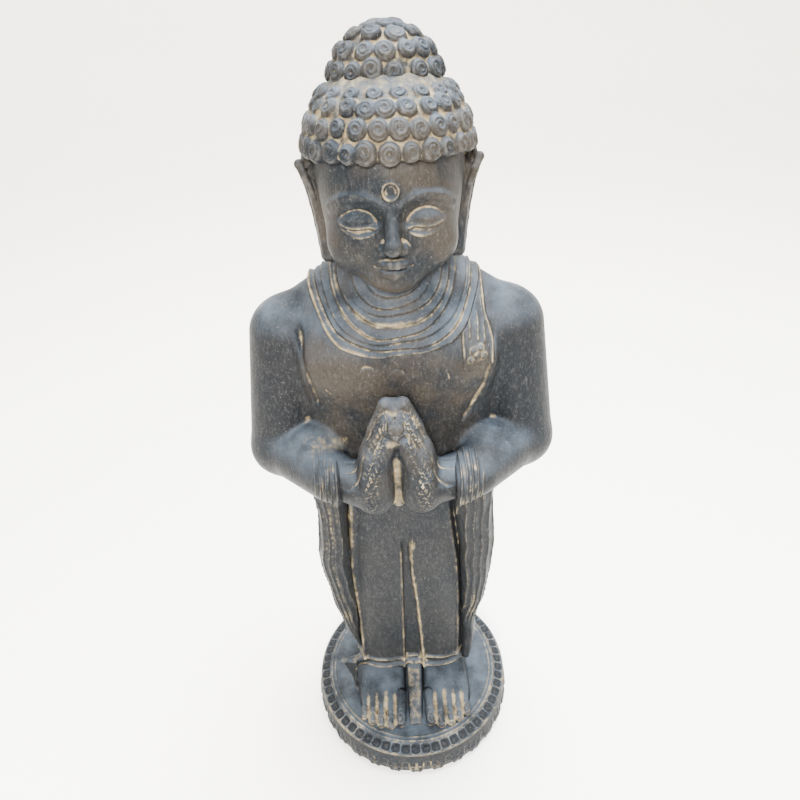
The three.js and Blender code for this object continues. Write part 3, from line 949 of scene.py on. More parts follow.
FINGERS = [
    # knuckle, middle joint, tip, and the radius at each: index, middle, ring, little finger, thumb.
    # x is measured from the plane where the palms meet
    ([(15.0, -47, 290), (9.6, -46.5, 310), (4.2, -47, 323)], [6.4, 5.6, 4.5]),
    ([(15.4, -54, 291), (10.0, -53, 312), (4.4, -52.5, 326.8)], [6.4, 5.7, 4.6]),
    ([(15.2, -61.5, 288), (9.6, -60.5, 308), (4.2, -59.5, 320.5)], [6.2, 5.4, 4.4]),
    ([(13.4, -67.5, 282), (8.8, -67.5, 298), (3.9, -66, 311.0)], [6.4, 5.2, 4.2]),
    ([(15, -43, 276), (9.5, -41.5, 290), (4.6, -42, 301)], [6.0, 5.2, 4.4]),
]
THUMBNAIL_HEIGHT = 320.6
FINGER_GAPS = [
    # lines between neighbouring fingers, as (y, z)
    [(-50.5, 286), (-50, 308), (-49.5, 324)],
    [(-57.8, 284), (-57, 306), (-56, 322)],
    [(-64.8, 278), (-64.2, 298), (-63, 313)],
]


def hand(side):
    def at(point):
        return (point[0] * side + LEAN, *point[1:])

    parts = [
        (limb(mirror_x((40, -45.5, 274.5), side), at((22, -55, 274.5)), 13.2, 12.6), 0),
        (ellipsoid(at((13.4, -60.5, 275)), (11.8, 12.5, 13.2)), 4),
        (chain([at((12.8, -63.5, 272.5)), at((13.2, -67.0, 284))], [9.4, 7.0]), 4),
        (ellipsoid(at((7.6, -60.5, 288)), (5.8, 9.5, 19)), 4),
        (ellipsoid(at((13.2, -52, 278)), (11.6, 11, 17)), 5),
        (ellipsoid(at((11.6, -56, 290)), (10.6, 15.5, 20)), 5),
        *[(chain([at(point) for point in points], radii), 1.1) for points, radii in FINGERS],
        (ellipsoid(at((4.0, -55.5, 303)), (8.0, 12.5, 22)), 1.5),
        (ellipsoid(at((3.5, -50.5, 280)), (6.5, 9.5, 24)), 1.5),
        (ellipsoid(at((0.0, -62.0, 314)), (6.6, 6.6, 10.5), 12), 1.6),
        (ellipsoid(at((0.0, -52.5, 318)), (5.6, 9, 12.5)), 2.0),
        (limb(at((0.0, -62.0, 304)), at((0.0, -61.0, 268)), 4.2, 4.2), 1.0),
    ]
    palm = cut_to(blended(parts), lambda p: -PALM_GAP - (p[X] - LEAN) * side)

    def knuckle_marks(x, y, z):
        """Short wavy lines across the fingers, stacked up the outer front of the hand."""
        middle = np.interp(z, [266, 290, 308, 322], [16.5, 14.5, 10.5, 7.5])
        band = np.exp(-(((x - middle) / 5.0) ** 4)) * step(z, 266, 271) * drop(z, 325, 330)
        bend = 1.3 * np.sin(1.1 * x + 0.5 * z + side) + 0.7 * np.sin(2.3 * x - 1.1 * z + 2 * side)
        wave = np.sin(2 * math.pi * (z + bend) / 3.3)
        broken = step(np.sin(0.9 * z + 1.7 * x + 3 * side) + 0.6 * np.sin(2.9 * z), -0.7, 0.2)
        return step(wave, 0.4, 0.9) * broken * band * drop(y, -50, -44)

    def gap_marks(x, y, z):
        marks = np.zeros_like(x)
        for points in FINGER_GAPS:
            marks = np.maximum(marks, ridge(y, z, points, 0.75, 1.0, 0.05) * step(x, 4, 7))
        return marks

    def nail(p):
        """A measure that is 1 on the edge of the nail in front of the fingertips, and 1 in front."""
        out = (((p[X] - LEAN) / 4.3) ** 4 + ((p[Z] - THUMBNAIL_HEIGHT) / 2.7) ** 4) ** 0.25
        return out, drop(p[Y], -61, -57)

    def relief(p):
        x, y, z = (p[X] - LEAN) * side, p[Y], p[Z]
        out, ahead = nail(p)
        plate = (0.5 * drop(out, 0.75, 1.0) - 0.5 * bell(out - 1.12, 0.16)) * ahead
        return 0.7 * knuckle_marks(x, y, z) - 0.7 * gap_marks(x, y, z) + plate

    def wash(p):
        x, y, z = (p[X] - LEAN) * side, p[Y], p[Z]
        channel = 0.55 * drop(x, 1.2, 3.4) * drop(y, -60, -54) * drop(z, 300, 308)
        out, ahead = nail(p)
        above = 0.75 * np.exp(-(((x * side + 1.2) / 4.6) ** 2) - ((z - 325.6) / 1.9) ** 2)
        below = 0.75 * np.exp(-(((x * side + 2.2) / 5.0) ** 2) - ((z - 313.2) / 2.6) ** 2)
        channel = np.maximum(channel, np.maximum(above, below) * drop(y, -56, -50))
        marked = strongest(channel, 0.75 * knuckle_marks(x, y, z), 0.45 * gap_marks(x, y, z))
        return np.where((out < 1.05) & (ahead > 0.5), -0.5, marked)

    piece = sculpt(f"{SIDE[side]}_hand_stone", raised(palm, relief, 1), 0.5, 80000, wash)
    finish_stone(piece, f"{SIDE[side]}_hand")


# The collar and the shawl, as cloth in relief on the torso

CLOTH_DEPTH = 2.0  # mm that the cloth reaches into the body
COLLAR_CENTRE = (-1.2, 388)  # x and z of the middle of its rings
COLLAR_REACH = (46, 40)
COLLAR_EDGE = 1.015
COLLAR_TOP = 391.0
COLLAR_RINGS = [
    # (place in the middle, how much further out at the sides, width, height, colour, stronger side)
    (0.28, 0.17, 0.018, 0.7, 0.30, 0),
    (0.39, 0.14, 0.020, 0.8, 0.35, 0),
    (0.50, 0.09, 0.018, 0.7, 0.30, 1),
    (0.605, 0.05, 0.032, 1.5, 0.70, 0),
    (0.755, 0.00, 0.022, 1.1, 0.55, -1),
    (0.84, 0.03, 0.018, 0.6, 0.30, -1),
    (0.915, 0.04, 0.020, 0.9, 0.40, 1),
    (0.985, 0.09, 0.026, 1.2, 0.75, -1),
]


def collar_place(p):
    """About 1 on the outer edge of the collar and less towards the neck."""
    wobble = 0.012 * np.sin(p[X] / 8.1 + 0.6) + 0.006 * np.sin(p[X] / 3.9 + 1)
    along, down = (p[X] - COLLAR_CENTRE[0]) / COLLAR_REACH[0], (p[Z] - COLLAR_CENTRE[1]) / COLLAR_REACH[1]
    return np.hypot(along, down) + wobble


def collar_spread(p):
    """0 in the middle of the chest and 1 at the sides, where the folds lie further out."""
    return np.clip((p[X] - COLLAR_CENTRE[0]) ** 2 / 30**2, 0, 1)


def past_collar(p, edge):
    """About how far in mm a place lies outside an edge of the collar."""
    return (collar_place(p) - edge - 0.09 * collar_spread(p)) * COLLAR_REACH[1]


def collar_marks(p):
    place, spread = collar_place(p), collar_spread(p)
    height = 1.0 + 0.7 * drop(place, 0.4, 1.0)
    colour = np.zeros_like(place)
    for i, (middle, further, width, rise, tint, side) in enumerate(COLLAR_RINGS):
        ring = middle + further * spread + 0.014 * np.sin(p[X] / 11 + 2.1 * i)
        strength = 0.72 + 0.28 * np.sin(p[X] / 9 + 2.7 * i) + 0.3 * side * np.clip(p[X] / 20, -1, 1)
        inside = step(place, ring - 0.085, ring) * drop(place, ring, ring + 0.02)
        crest = bell(place - ring, width) * np.clip(strength, 0.25, 1.1)
        height = height + rise * (0.6 * inside + 1.0 * crest)
        colour = np.maximum(colour, tint * crest)
    return height, colour


def collar():
    body = body_form()
    skin = raised(body, lambda p: collar_marks(p)[0], 4)

    def limit(p):
        return strongest(past_collar(p, COLLAR_EDGE), -CLOTH_DEPTH - body.distance(p), p[Z] - COLLAR_TOP)

    form = cut_to(skin, limit, 1.2)
    form.low, form.high = np.array([-56, -42, 340]), np.array([56, 50, 392])

    def wash(p):
        return collar_marks(p)[1] * (1 - 0.6 * step(p[Y], 0, 20))

    finish_stone(sculpt("collar_stone", form, 0.55, 90000, wash), "collar_folds")


SHAWL_EDGES = [
    # (z, left edge x, right edge x)
    (328, 36.0, 53.2),
    (350, 35.6, 53.2),
    (362, 34.6, 49.8),
    (383, 34.2, 48.6),
    (395, 34.0, 44.0),
]
SHAWL_FOLDS = [
    # (share of the width, height, colour)
    (0.03, 0.4, 0.25),
    (0.27, 0.4, 0.18),
    (0.62, 0.4, 0.18),
    (0.97, 1.1, 0.80),
]
FRINGE = [(35.8, 344, 361), (39.5, 354, 364), (44.4, 352, 365), (48.3, 350, 360)]  # x, bottom z, top z
BUNCH = [(41.4, 347.5, 1.9), (45.4, 348.2, 1.7), (43.4, 344.4, 2.1), (47.4, 343.6, 1.6), (39.8, 343.0, 1.5)]


def shawl_across(p):
    """0 on the inner edge of the band and 1 on the outer one."""
    zs, left, right = np.array(SHAWL_EDGES, float).T
    start, end = np.interp(p[Z], zs, left), np.interp(p[Z], zs, right)
    return (p[X] - start) / (end - start)


def shawl_marks(p):
    """The folded band over the left shoulder: its edges, lines, fringe and the bunch of beads it ends in."""
    across = shawl_across(p)
    height = 0.8 * step(across, -0.05, 0.08) * drop(across, 1.0, 1.1)
    colour = np.zeros_like(height)
    for at, rise, tint in SHAWL_FOLDS:
        crest = bell(across - at - 0.015 * np.sin(p[Z] / 5), 0.045)
        height += rise * crest
        colour = np.maximum(colour, tint * crest)
    ahead = p[Y] < 0
    for x, bottom, top in FRINGE:
        line = bell(p[X] - x - 0.3 * np.sin(p[Z] / 3), 0.7)
        line *= step(p[Z], bottom - 1, bottom + 1) * drop(p[Z], top - 2, top + 1) * ahead
        height += 0.8 * line
        colour = np.maximum(colour, 0.6 * line)
    for x, z, radius in BUNCH:
        out = np.hypot(p[X] - x, p[Z] - z) / radius
        height += 1.1 * np.exp(-(out**2)) * ahead
        colour = np.maximum(colour, 0.55 * bell(out - 1.2, 0.4) * ahead)
    return height, colour


def shawl():
    body = body_form()
    skin = raised(body, lambda p: shawl_marks(p)[0], 4)

    def limit(p):
        across = shawl_across(p)
        edge = np.maximum(-0.06 - across, across - 1.08) * 15
        end = np.where(p[Y] < 0, 337 + 0.8 * np.sin(p[X] / 1.3), 262 + 1.2 * np.sin(p[X] / 2.0)) - p[Z]
        return strongest(edge, end, -CLOTH_DEPTH - body.distance(p), 1.0 - past_collar(p, COLLAR_EDGE - 0.04))

    form = cut_to(skin, limit, 1.0)
    form.low, form.high = np.array([28, -42, 255]), np.array([60, 54, 394])

    piece = sculpt("shawl_stone", form, 0.6, 60000, lambda p: shawl_marks(p)[1])
    finish_stone(piece, "shoulder_sash")


# The head

BOW = 8.0  # degrees that the head leans forward
HAIRLINE = 449.0


def head_form():
    parts = [
        (ellipsoid((0, -4, 440), (38, 42.5, 36.5), BOW), 0),
        (ellipsoid((0, -14, 415), (33.5, 31, 32), BOW), 10),
        (limb((0, 3, 366), (0, -5, 412), 22.5, 21.5), 7),
        (ellipsoid((0, -33, 393), (13, 10.5, 9), BOW), 9),
        (limb((0, -43.5, 431), (0, -50.0, 413), 2.6, 3.9), 5),
        (ellipsoid((0, -50.5, 411), (4.2, 4.2, 3.4)), 2.5),
    ]
    for side in (1, -1):
        at = functools.partial(mirror_x, side=side)
        parts += [
            (ellipsoid(at((18, -30, 408)), (13, 11, 12), BOW), 10),
            (ellipsoid(at((4.6, -46.5, 409.5)), (3.0, 3.6, 2.8)), 2),
            (chain([at((3, -44.5, 429)), at((12, -44, 433.5)), at((23, -38.5, 432)), at((30, -31, 427))],
                   [1.2, 1.5, 1.4, 0.8], 1), 4),
        ]
    return blended(parts)


def eyes_and_mouth(face):
    """Half-closed eyes, a nose and a calm mouth, on plain thirds of the face."""
    form = face
    lids = []
    for side in (1, -1):
        form = carved(form, ellipsoid(mirror_x((15.5, -45.5, 424), side), (10, 5.5, 5.5)), 5)
        lids.append(ellipsoid(mirror_x((15.5, -35.6, 421), side), (9.5, 7.4, 6.2)))
    upper_lip = chain(
        [(-10, -38.5, 400.6), (-4.5, -44.2, 401.0), (-1.6, -46.0, 401.6), (0, -45.6, 401.0),
         (1.6, -46.0, 401.6), (4.5, -44.2, 401.0), (10, -38.5, 400.6)],
        [0.8, 1.9, 2.1, 1.9, 2.1, 1.9, 0.8], 1)
    lower_lip = chain(
        [(-8.5, -38.8, 398.6), (-4, -43.0, 396.8), (0, -44.2, 396.3), (4, -43.0, 396.8), (8.5, -38.8, 398.6)],
        [0.8, 2.0, 2.3, 2.0, 0.8], 1)
    return blended([(form, 0), *[(part, 1.5) for part in (*lids, upper_lip, lower_lip)]])


LIDS = [
    # (x, z) along the crease above the lid, the upper lid's edge and the lower lid
    [(6.5, 421), (10, 425.4), (15.5, 427.4), (21, 426), (25.5, 422.4)],
    [(6.0, 418.6), (10, 419.6), (15.5, 419.4), (20.5, 419.6), (26, 421.6)],
    [(7.0, 417.8), (11, 415.8), (15.5, 415.0), (20.5, 416.4), (25, 419.8)],
]
BROW = [(2.5, 428.5), (8, 432.6), (15, 434.6), (23, 433.6), (31, 429)]
MOUTH = [(-10.5, 400.4), (-5, 399.0), (0, 399.3), (5, 399.0), (10.5, 400.4)]
URNA = (0, 436.5)  # the ring on the brow
URNA_RADIUS = 3.7


def face_marks(p):
    """Lids, brows, mouth and the ring on the brow, as height in mm and as colour."""
    front = drop(p[Y], -26, -18)
    x = np.abs(p[X])
    height = np.zeros(p.shape[1], np.float32)
    colour = np.zeros(p.shape[1], np.float32)
    for points, width, rise, tint in (
        (LIDS[0], 0.75, -0.7, 0.55),
        (LIDS[1], 0.7, 0.7, 0.62),
        (LIDS[2], 0.7, 0.55, 0.5),
        (BROW, 1.0, 0.5, 0.0),
    ):
        mark = ridge(x, p[Z], points, width, 1.0, 0.1) * front
        height += rise * mark
        colour = np.maximum(colour, tint * mark)
    mouth = ridge(p[X], p[Z], MOUTH, 0.7, 1.0, 0.05) * front
    height -= 0.9 * mouth
    colour = np.maximum(colour, 0.62 * mouth)
    ring = bell(np.hypot(p[X] - URNA[0], p[Z] - URNA[1]) - URNA_RADIUS, 0.75) * front
    height += 1.0 * ring
    colour = np.maximum(colour, 0.66 * ring)
    return height, colour


def ear(side):
    """A long-lobed ear that lies against the head and flares at the top."""
    at = functools.partial(mirror_x, side=side)
    rim = chain(
        [at((39.5, -9, 428)), at((42.5, -10, 437)), at((45.4, -6, 442.5)), at((45.6, 2, 441)),
         at((43.6, 6, 432)), at((41, 4, 421)), at((38.8, 0, 411)), at((37.0, -3, 402)), at((36.0, -5, 395))],
        [1.7, 2.0, 2.2, 2.4, 2.5, 2.5, 2.7, 3.1, 3.3], 1)
    inner = chain([at((39, -8, 426)), at((37.6, -8, 415)), at((36.2, -8, 405)), at((35.4, -7, 396))],
                  [2.0, 2.0, 2.4, 2.6], 1)
    shell = ellipsoid(at((37, 0, 430)), (6, 9, 14))
    backing = chain([at((36, -2.5, 436)), at((35, -4, 415)), at((33.5, -5.5, 397))], [6.0, 5.6, 5.0], 1)
    return [(backing, 2), (shell, 2), (rim, 1.2), (inner, 1.2)]


def head():
    form = raised(eyes_and_mouth(head_form()), lambda p: face_marks(p)[0], 1.5)
    whole = blended([(form, 0), *ear(1), *ear(-1)])

    def wash(p):
        colour = face_marks(p)[1]
        behind_face = step(np.abs(p[X]), 30, 33) * step(p[Y], -26, -20)
        return np.where(colour > 0.05, colour, -0.7 * behind_face)

    finish_stone(sculpt("head_stone", whole, 0.55, 190000, wash), "head")


# The hair: a cap and a topknot, both covered in snail curls

CURL_SPACING = 9.7
CURL_RADIUS = 4.9
CURL_HEIGHT = 3.1
CURL_EDGE = 2.3  # radius of a curl's rounded edge
CURL_PITCH = 1.9  # mm from one turn of the spiral groove to the next
TURN = 6.28  # radians over which the curls are turned at random
HALF_STEP = 0.5 * np.eye(3)  # mm along each axis
CAP = {"centre": (0, -4, 438), "radii": (42.2, 45.6, 44.0), "squareness": 2.5}
KNOT = {"centre": (0, 1, 473.5), "radii": (27.0, 25.8, 26.2), "squareness": 2.1}


def hair_ball(centre, radii, squareness):
    """A ball that is round from above and a little square from the side."""
    middle, reach = column(centre), column(radii)

    def distance(p):
        q = p - middle
        r = q / reach
        plan = np.sqrt(r[X] ** 2 + r[Y] ** 2)
        ratio = (plan**squareness + np.abs(r[Z]) ** squareness) ** (1 / squareness) + 1e-5
        out = np.sqrt((q**2).sum(0))
        return (out - out / ratio) * 0.92

    return Form(np.array(centre) - radii, np.array(centre) + radii, distance)


def curl(place, normal, turn, radius):
    """A snail curl: a flat-topped button with a spiral groove and a pit in the middle."""
    n = np.array(normal) / np.linalg.norm(normal)
    u = np.cross(n, (0.02, 0.05, 1.0))
    u /= np.linalg.norm(u)
    v = np.cross(n, u)
    place = np.array(place, float)

    def distance(p):
        q = p - column(place)
        a, b, h = (q * column(u)).sum(0), (q * column(v)).sum(0), (q * column(n)).sum(0)
        out = np.hypot(a, b)
        side, top = out - (radius - CURL_EDGE), h - (CURL_HEIGHT - CURL_EDGE) + 0.03 * out**2
        outside = np.hypot(np.maximum(side, 0), np.maximum(top, 0))
        button = outside + np.minimum(np.maximum(side, top), 0) - CURL_EDGE
        phase = out / CURL_PITCH - (np.arctan2(b, a) + turn) / (2 * math.pi)
        groove = bell(phase - np.round(phase), 0.17) * step(out, 0.9, 1.4)
        groove *= drop(out, radius * 0.72, radius * 0.9)
        pit = bell(out, 1.0)
        return np.maximum(button + 0.55 * groove + 0.8 * pit, -3.0 - h)

    room = radius + 0.5
    return Form(place - room, place + room, distance)


def outward(form, place):
    """The direction straight out of a form at a place."""
    return np.array([
        form.distance(column(place + step_out))[0] - form.distance(column(place - step_out))[0]
        for step_out in HALF_STEP
    ])


def curl_rows(ball, form, heights, wanted, random):
    """Curls in level rows round a ball, half a curl out of step from one row to the next."""
    curls = []
    centre, radii = np.array(ball["centre"], float), np.array(ball["radii"], float)
    for row, height in enumerate(heights):
        up = min(abs(height - centre[Z]) / radii[Z], 1.0)
        plan = (1 - up ** ball["squareness"]) ** (1 / ball["squareness"])
        count = max(1, round(2 * math.pi * plan * (radii[X] + radii[Y]) / 2 / CURL_SPACING))
        for i in range(count):
            turn = (i + (row % 2) / 2 + random.uniform(-0.12, 0.12)) / count * 2 * math.pi
            place = np.array([
                centre[X] + radii[X] * plan * math.sin(turn),
                centre[Y] - radii[Y] * plan * math.cos(turn),
                height + random.uniform(-0.8, 0.8),
            ])
            if wanted(place):
                size = CURL_RADIUS + random.uniform(-0.7, 0.6)
                curls.append((curl(place, outward(form, place), random.uniform(0, TURN), size), 1.1))
    return curls


def hair_edge(p):
    """Below zero where hair grows: above the brow in front and down to the nape behind."""
    line = np.interp(p[Y], [-50, -16, -3, 9, 16, 45], [HAIRLINE, 447.5, 444, 425, 409, 403])
    return line - p[Z]


def hair_piece(node, ball, heights, wanted, limit, extra, seed, most):
    """A ball of curls, cut to its limit. The first extra form joins the scalp, and the rest lie on top."""
    random = np.random.default_rng(seed)
    scalp = hair_ball(**ball)
    base = blended([(scalp, 0), *extra[:1]])
    mass = cut_to(base, limit, 3.0)
    form = blended([(mass, 0), *curl_rows(ball, scalp, heights, wanted, random), *extra[1:]])

    def wash(p):
        over_ears = step(p[Z], 443, 450) + step(p[Y], 8, 16)
        above_brow = step(p[Z], HAIRLINE, HAIRLINE + 6) + step(p[Y], 0, 20)
        thick = 0.5 * drop(base.distance(p), 0.3, 1.8)
        return thick * np.clip(over_ears, 0.15, 1) * np.clip(above_brow, 0.15, 1)

    finish_stone(sculpt(f"{node}_stone", form, 0.5, most, wash), node)


CAP_ROWS = [469.3, 461.4, 452.6, 443.2, 433.8, 424.6, 415.4, 406.6]
CAP_SLOPE = [
    # the slope up to the topknot, as (z, centre x, half width, front y, back y, squareness)
    (460, 0, 38, -42, 34, 2),
    (470, 0, 34.5, -36.5, 32, 2),
    (476, 0, 29, -30, 28, 2),
    (482, 0, 25, -25, 25, 2),
]
CAP_SLOPE_TOP = 481.0
SLOPE_RING = {"count": 19, "centre": (0, -2.0, 473.6), "reach": (31.5, 32.0, 0), "radius": 4.4}
KNOT_ROWS = [498.9, 495.9, 490.2, 482.2]
KNOT_SEAT = 466.0


def curl_cap():

    def wanted(place):
        return hair_edge(column(place))[0] < -3.0

    random = np.random.default_rng(11)
    ring = []
    for i in range(SLOPE_RING["count"]):
        turn = (i + 0.5) / SLOPE_RING["count"] * 2 * math.pi
        out = np.array((math.sin(turn), -math.cos(turn), 0.0))
        place = np.array(SLOPE_RING["centre"]) + out * SLOPE_RING["reach"]
        ring.append((curl(place, out + (0, 0, 1.1), random.uniform(0, TURN), SLOPE_RING["radius"]), 0.3))
    fill = cut_to(loft(CAP_SLOPE), lambda p: p[Z] - CAP_SLOPE_TOP, 1)
    hair_piece("curl_cap", CAP, CAP_ROWS, wanted, hair_edge, [(fill, 4), *ring], 3, 190000)


def topknot():
    hair_piece("topknot", KNOT, KNOT_ROWS, lambda place: True, lambda p: KNOT_SEAT - p[Z], [], 5, 90000)


# Materials


class Nodes:
    """Short calls for building a node tree."""

    def __init__(self, name):
        self.material = bpy.data.materials.new(name)
        self.material.use_nodes = True
        self.tree = self.material.node_tree
        self.shader = self.tree.nodes["Principled BSDF"]
        self.place = self.tree.nodes.new("ShaderNodeTexCoord").outputs["Object"]

    def new(self, kind, inputs=None, **settings):
        node = self.tree.nodes.new(kind)
        for name, value in settings.items():
            setattr(node, name, value)
        for name, value in (inputs or {}).items():
            self.set(node.inputs[name], value)
        return node

    def set(self, socket, value):
        if isinstance(value, bpy.types.NodeSocket):
            self.tree.links.new(value, socket)
        else:
            socket.default_value = value

    def shade(self, **values):
        """Sets inputs of the shader: Base_Color is its input "Base Color"."""
        for name, value in values.items():
            self.set(self.shader.inputs[name.replace("_", " ")], value)

    def math(self, operation, a, b=0.0, clamp=False):
        node = self.new("ShaderNodeMath", {0: a, 1: b}, operation=operation, use_clamp=clamp)
        return node.outputs[0]

    def times(self, a, b):
        return self.math("MULTIPLY", a, b)

    def plus(self, a, b, clamp=False):
        return self.math("ADD", a, b, clamp)

    def larger(self, a, b):
        return self.math("MAXIMUM", a, b)

    def ramp(self, value, low, high):
        """0 at low and 1 at high, eased."""
        inputs = {"Value": value, "From Min": low, "From Max": high}
        return self.new("ShaderNodeMapRange", inputs, interpolation_type="SMOOTHSTEP").outputs["Result"]

    def mix(self, share, a, b):
        node = self.new("ShaderNodeMix", data_type="RGBA")
        self.set(node.inputs[0], share)
        self.set(node.inputs[6], a)
        self.set(node.inputs[7], b)
        return node.outputs[2]

    def noise(self, scale, detail=3.0, rough=0.55, stretch=None):
        place = self.place
        if stretch:
            place = self.new("ShaderNodeMapping", {"Vector": place, "Scale": stretch}).outputs[0]
        inputs = {"Vector": place, "Scale": scale, "Detail": detail, "Roughness": rough}
        return self.new("ShaderNodeTexNoise", inputs).outputs["Fac"]

    def attribute(self, name):
        return self.new("ShaderNodeAttribute", attribute_name=name).outputs["Fac"]


NEAR_BLACK = (0.003, 0.0033, 0.0038, 1)
GREY = (0.042, 0.0435, 0.0445, 1)
CHARCOAL = (0.0058, 0.0070, 0.0086, 1)
BROWN_BLACK = (0.021, 0.0175, 0.0140, 1)
# pale bluish grey for upward faces: dust, together with a painted sheen standing in for the reflection of the
# light from above
DUST_AND_SKY_SHEEN = (0.058, 0.074, 0.095, 1)
OCHRE = (0.140, 0.105, 0.054, 1)
PALE_OCHRE = (0.250, 0.207, 0.128, 1)
WORN = (0.11, 0.108, 0.10, 1)


def stone():
    """Cast stone with a near-black waxed patina: dusty and with a painted bluish sheen of the light from above
    where it faces up, and with ochre in its hollows.
    """
    if "cast_stone" in bpy.data.materials:
        return bpy.data.materials["cast_stone"]
    n = Nodes("cast_stone")
    cloudy = n.noise(28, 3)
    speckle = n.noise(900, 2)
    grain = n.noise(2600, 2)
    brushed = n.noise(420, 3, stretch=(1.0, 1.0, 0.16))
    place = n.new("ShaderNodeSeparateXYZ", {0: n.place}).outputs
    between_arms = n.ramp(n.math("ABSOLUTE", place["X"]), 0.062, 0.045)
    warm = n.larger(n.times(n.ramp(place["Z"], 0.26, 0.32), between_arms), 0.15)
    colour = n.mix(n.times(n.ramp(cloudy, 0.35, 0.6), warm), CHARCOAL, BROWN_BLACK)
    mottle = n.noise(640, 5, 0.8, stretch=(1.0, 1.0, 0.55))
    colour = n.mix(n.times(n.ramp(mottle, 0.5, 0.25), 0.75), colour, NEAR_BLACK)
    colour = n.mix(n.times(n.ramp(mottle, 0.5, 0.78), 0.6), colour, GREY)
    facing = n.new("ShaderNodeNewGeometry").outputs["Normal"]
    upright = n.new("ShaderNodeSeparateXYZ", {0: facing}).outputs["Z"]
    # Upward faces are mixed towards pale blue: partly dust, partly a painted sheen of the light from above,
    # kept off where the wash is below 0
    upward_dust_and_sheen = n.times(n.ramp(upright, 0.1, 1.0), n.ramp(n.noise(60, 4), 0.15, 0.8))
    kept_dark = n.math("MINIMUM", n.attribute("wash"), 0.0)
    open_to_dust_and_sheen = n.plus(1.0, kept_dark, clamp=True)
    colour = n.mix(n.times(n.times(upward_dust_and_sheen, open_to_dust_and_sheen), 0.75), colour, DUST_AND_SKY_SHEEN)
    streaks = n.times(n.ramp(n.noise(520, 5, 0.75, stretch=(1.0, 1.0, 0.4)), 0.52, 0.72), 0.16)
    worn = n.larger(n.times(n.ramp(speckle, 0.66, 0.74), 0.5), streaks)
    edge = n.times(n.ramp(n.attribute("near"), -0.05, -0.22), n.ramp(n.noise(190, 4), 0.42, 0.7))
    colour = n.mix(n.larger(worn, n.times(edge, 0.35)), colour, WORN)
    near = n.ramp(n.attribute("near"), 0.02, 0.22)
    wide = n.times(n.ramp(n.attribute("wide"), 0.25, 1.1), 0.45)
    hollow = n.larger(n.times(near, 0.72), wide)
    total = n.larger(n.attribute("wash"), n.plus(hollow, kept_dark))
    broken = n.plus(total, n.times(n.math("SUBTRACT", n.noise(230, 4, 0.7), 0.5), 1.3))
    patchy = n.plus(broken, n.times(n.math("SUBTRACT", n.noise(60, 2), 0.5), 0.9))
    amount = n.times(n.ramp(patchy, 0.28, 0.95), n.ramp(total, 0.02, 0.3))
    wash = n.mix(n.ramp(n.noise(300, 3), 0.35, 0.7), OCHRE, PALE_OCHRE)
    n.shade(Base_Color=n.mix(n.times(amount, 0.85), colour, wash))
    rough = n.plus(n.times(n.noise(150, 4), 0.22), 0.34)
    n.shade(Roughness=n.plus(rough, n.times(amount, 0.35), clamp=True))
    n.shade(Specular_IOR_Level=0.055)
    pits = n.new("ShaderNodeTexVoronoi", {"Vector": n.place, "Scale": 330}).outputs["Distance"]
    pitted = n.times(n.ramp(pits, 0.0, 0.2), 0.5)
    height = n.plus(n.times(grain, 0.35), n.times(brushed, 0.6))
    height = n.plus(height, pitted)
    bump = n.new("ShaderNodeBump", {"Height": height, "Distance": 0.0007, "Strength": 0.7})
    n.shade(Normal=bump.outputs["Normal"])
    return n.material


def steel():
    n = Nodes("rod_steel")
    turned_lines = n.noise(900, 2, stretch=(1, 1, 6))
    n.shade(Base_Color=n.mix(n.noise(90), (0.20, 0.20, 0.21, 1), (0.33, 0.32, 0.31, 1)))
    n.shade(Roughness=n.plus(n.times(turned_lines, 0.25), 0.3))
    n.shade(Metallic=1.0)
    bump = n.new("ShaderNodeBump", {"Height": turned_lines, "Distance": 0.0001})
    n.shade(Normal=bump.outputs["Normal"])
    return n.material


def felt():
    n = Nodes("green_felt")
    fibres = n.noise(1800, 4, 0.7)
    n.shade(Base_Color=n.mix(fibres, (0.006, 0.016, 0.009, 1), (0.022, 0.042, 0.026, 1)))
    n.shade(Roughness=0.95)
    n.shade(Sheen_Weight=0.4)
    bump = n.new("ShaderNodeBump", {"Height": fibres, "Distance": 0.0004})
    n.shade(Normal=bump.outputs["Normal"])
    return n.material


def plain(name, colour):
    n = Nodes(name)
    darker = (*[0.97 * value for value in colour[:3]], 1)
    n.shade(Base_Color=n.mix(n.noise(6, 2), colour, darker))
    n.shade(Roughness=0.8)
    return n.material


def dress_hidden_parts():
    """The rods inside and the felt underneath keep their CAD meshes."""
    metal, cloth = steel(), felt()
    for name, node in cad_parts.items():
        if name == "felt_base" or name.endswith(("_rod", "_dowel")):
            node.data.materials.clear()
            node.data.materials.append(cloth if name == "felt_base" else metal)


# Floor, light and camera

FLOOR = [(1.6, 0), (2.6, 0), (3.2, 0.12), (3.7, 0.5), (3.95, 1.1), (4.0, 2.0)]  # radius and height in metres
FLOOR_SIDES = 96
ROOM_COLOUR = (1.0, 0.965, 0.89)
LIGHTS = [
    # name, place and target in metres, size in metres, power in watts, colour
    ("window", (0.3, 0.1, 1.6), (0, 0, 0.3), 0.8, 95, (0.85, 0.93, 1.0)),
    ("front", (-0.1, -1.4, 1.05), (0, 0, 0.33), 0.4, 125, (1.0, 0.98, 0.95)),
    ("room", (0, 1.3, 3.4), (0, 1.3, 0), 3.0, 500, ROOM_COLOUR),
]
CAMERA_AHEAD = 0.325  # metres in front of the statue's axis
CAMERA_HEIGHT = 0.5
CAMERA_PITCH = 32.0  # degrees downwards
CAMERA_ROLL = -2.6
CAMERA_LENS = 27.05  # mm, on a sensor 36 mm wide


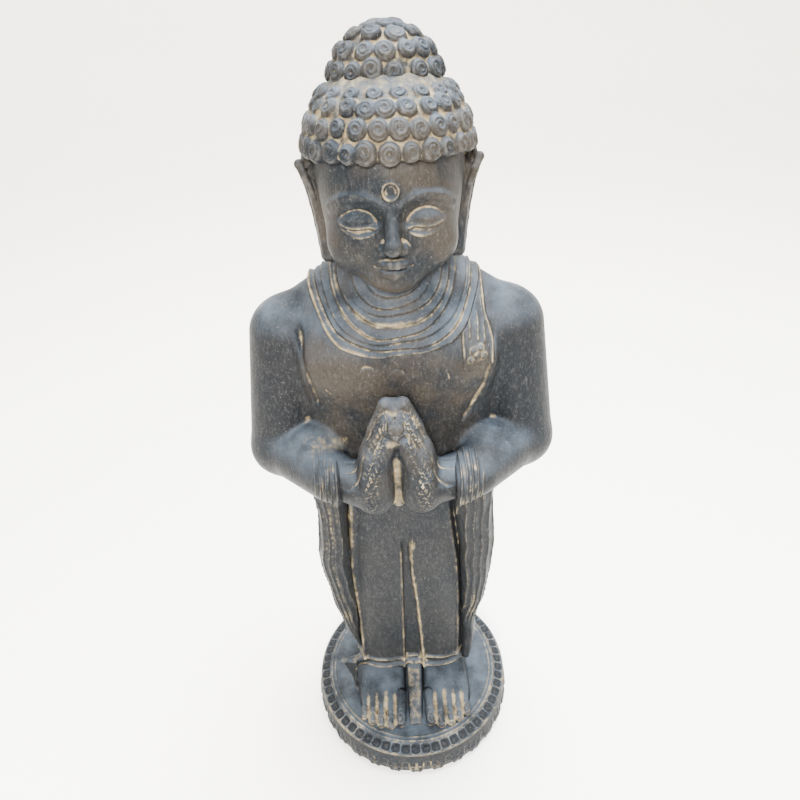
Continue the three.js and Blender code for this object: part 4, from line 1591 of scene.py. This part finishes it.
def floor():
    """A pale floor that curves up into a backdrop all round."""
    bm = bmesh.new()
    rings = []
    turns = [2 * math.pi * i / FLOOR_SIDES for i in range(FLOOR_SIDES)]
    for radius, height in FLOOR:
        rings.append([bm.verts.new((radius * math.cos(t), radius * math.sin(t), height)) for t in turns])
    bm.faces.new(rings[0])
    for inner, outer in zip(rings, rings[1:]):
        for i in range(FLOOR_SIDES):
            k = (i + 1) % FLOOR_SIDES
            bm.faces.new((inner[i], outer[i], outer[k], inner[k]))
    mesh = bpy.data.meshes.new("floor")
    bm.to_mesh(mesh)
    bm.free()
    mesh.shade_smooth()
    mesh.materials.append(plain("pale_floor", (0.93, 0.91, 0.875, 1)))
    add_object("floor", mesh)


def area_light(name, place, target, size, power, colour):
    light = bpy.data.lights.new(name, "AREA")
    light.shape = "DISK"
    light.size = size
    light.energy = power
    light.color = colour
    lamp = add_object(name, light)
    lamp.location = place
    lamp.rotation_euler = (Vector(target) - Vector(place)).to_track_quat("-Z", "Y").to_euler()


def studio():
    world = bpy.data.worlds.new("studio")
    bpy.context.scene.world = world
    world.use_nodes = True
    background = world.node_tree.nodes["Background"]
    background.inputs["Color"].default_value = (*ROOM_COLOUR, 1)
    background.inputs["Strength"].default_value = 1.3
    for light in LIGHTS:
        area_light(*light)


def camera():
    data = bpy.data.cameras.new("camera")
    data.sensor_width = 36
    data.lens = CAMERA_LENS
    data.clip_start = 0.01
    eye = add_object("camera", data)
    eye.location = (0, -CAMERA_AHEAD, CAMERA_HEIGHT)
    eye.rotation_mode = "XYZ"
    tilt = Vector((0, math.cos(math.radians(CAMERA_PITCH)), -math.sin(math.radians(CAMERA_PITCH))))
    turn = tilt.to_track_quat("-Z", "Y")
    eye.rotation_euler = (turn @ Quaternion((0, 0, 1), math.radians(CAMERA_ROLL))).to_euler()
    bpy.context.scene.camera = eye


camera()
floor()
studio()
dress_hidden_parts()
plinth()
for each_side in SIDE:
    foot(each_side)
robe_and_torso()
for paired_piece in (robe_fall, sleeve_cuff, hand):
    for each_side in SIDE:
        paired_piece(each_side)
collar()
shawl()
head()
curl_cap()
topknot()
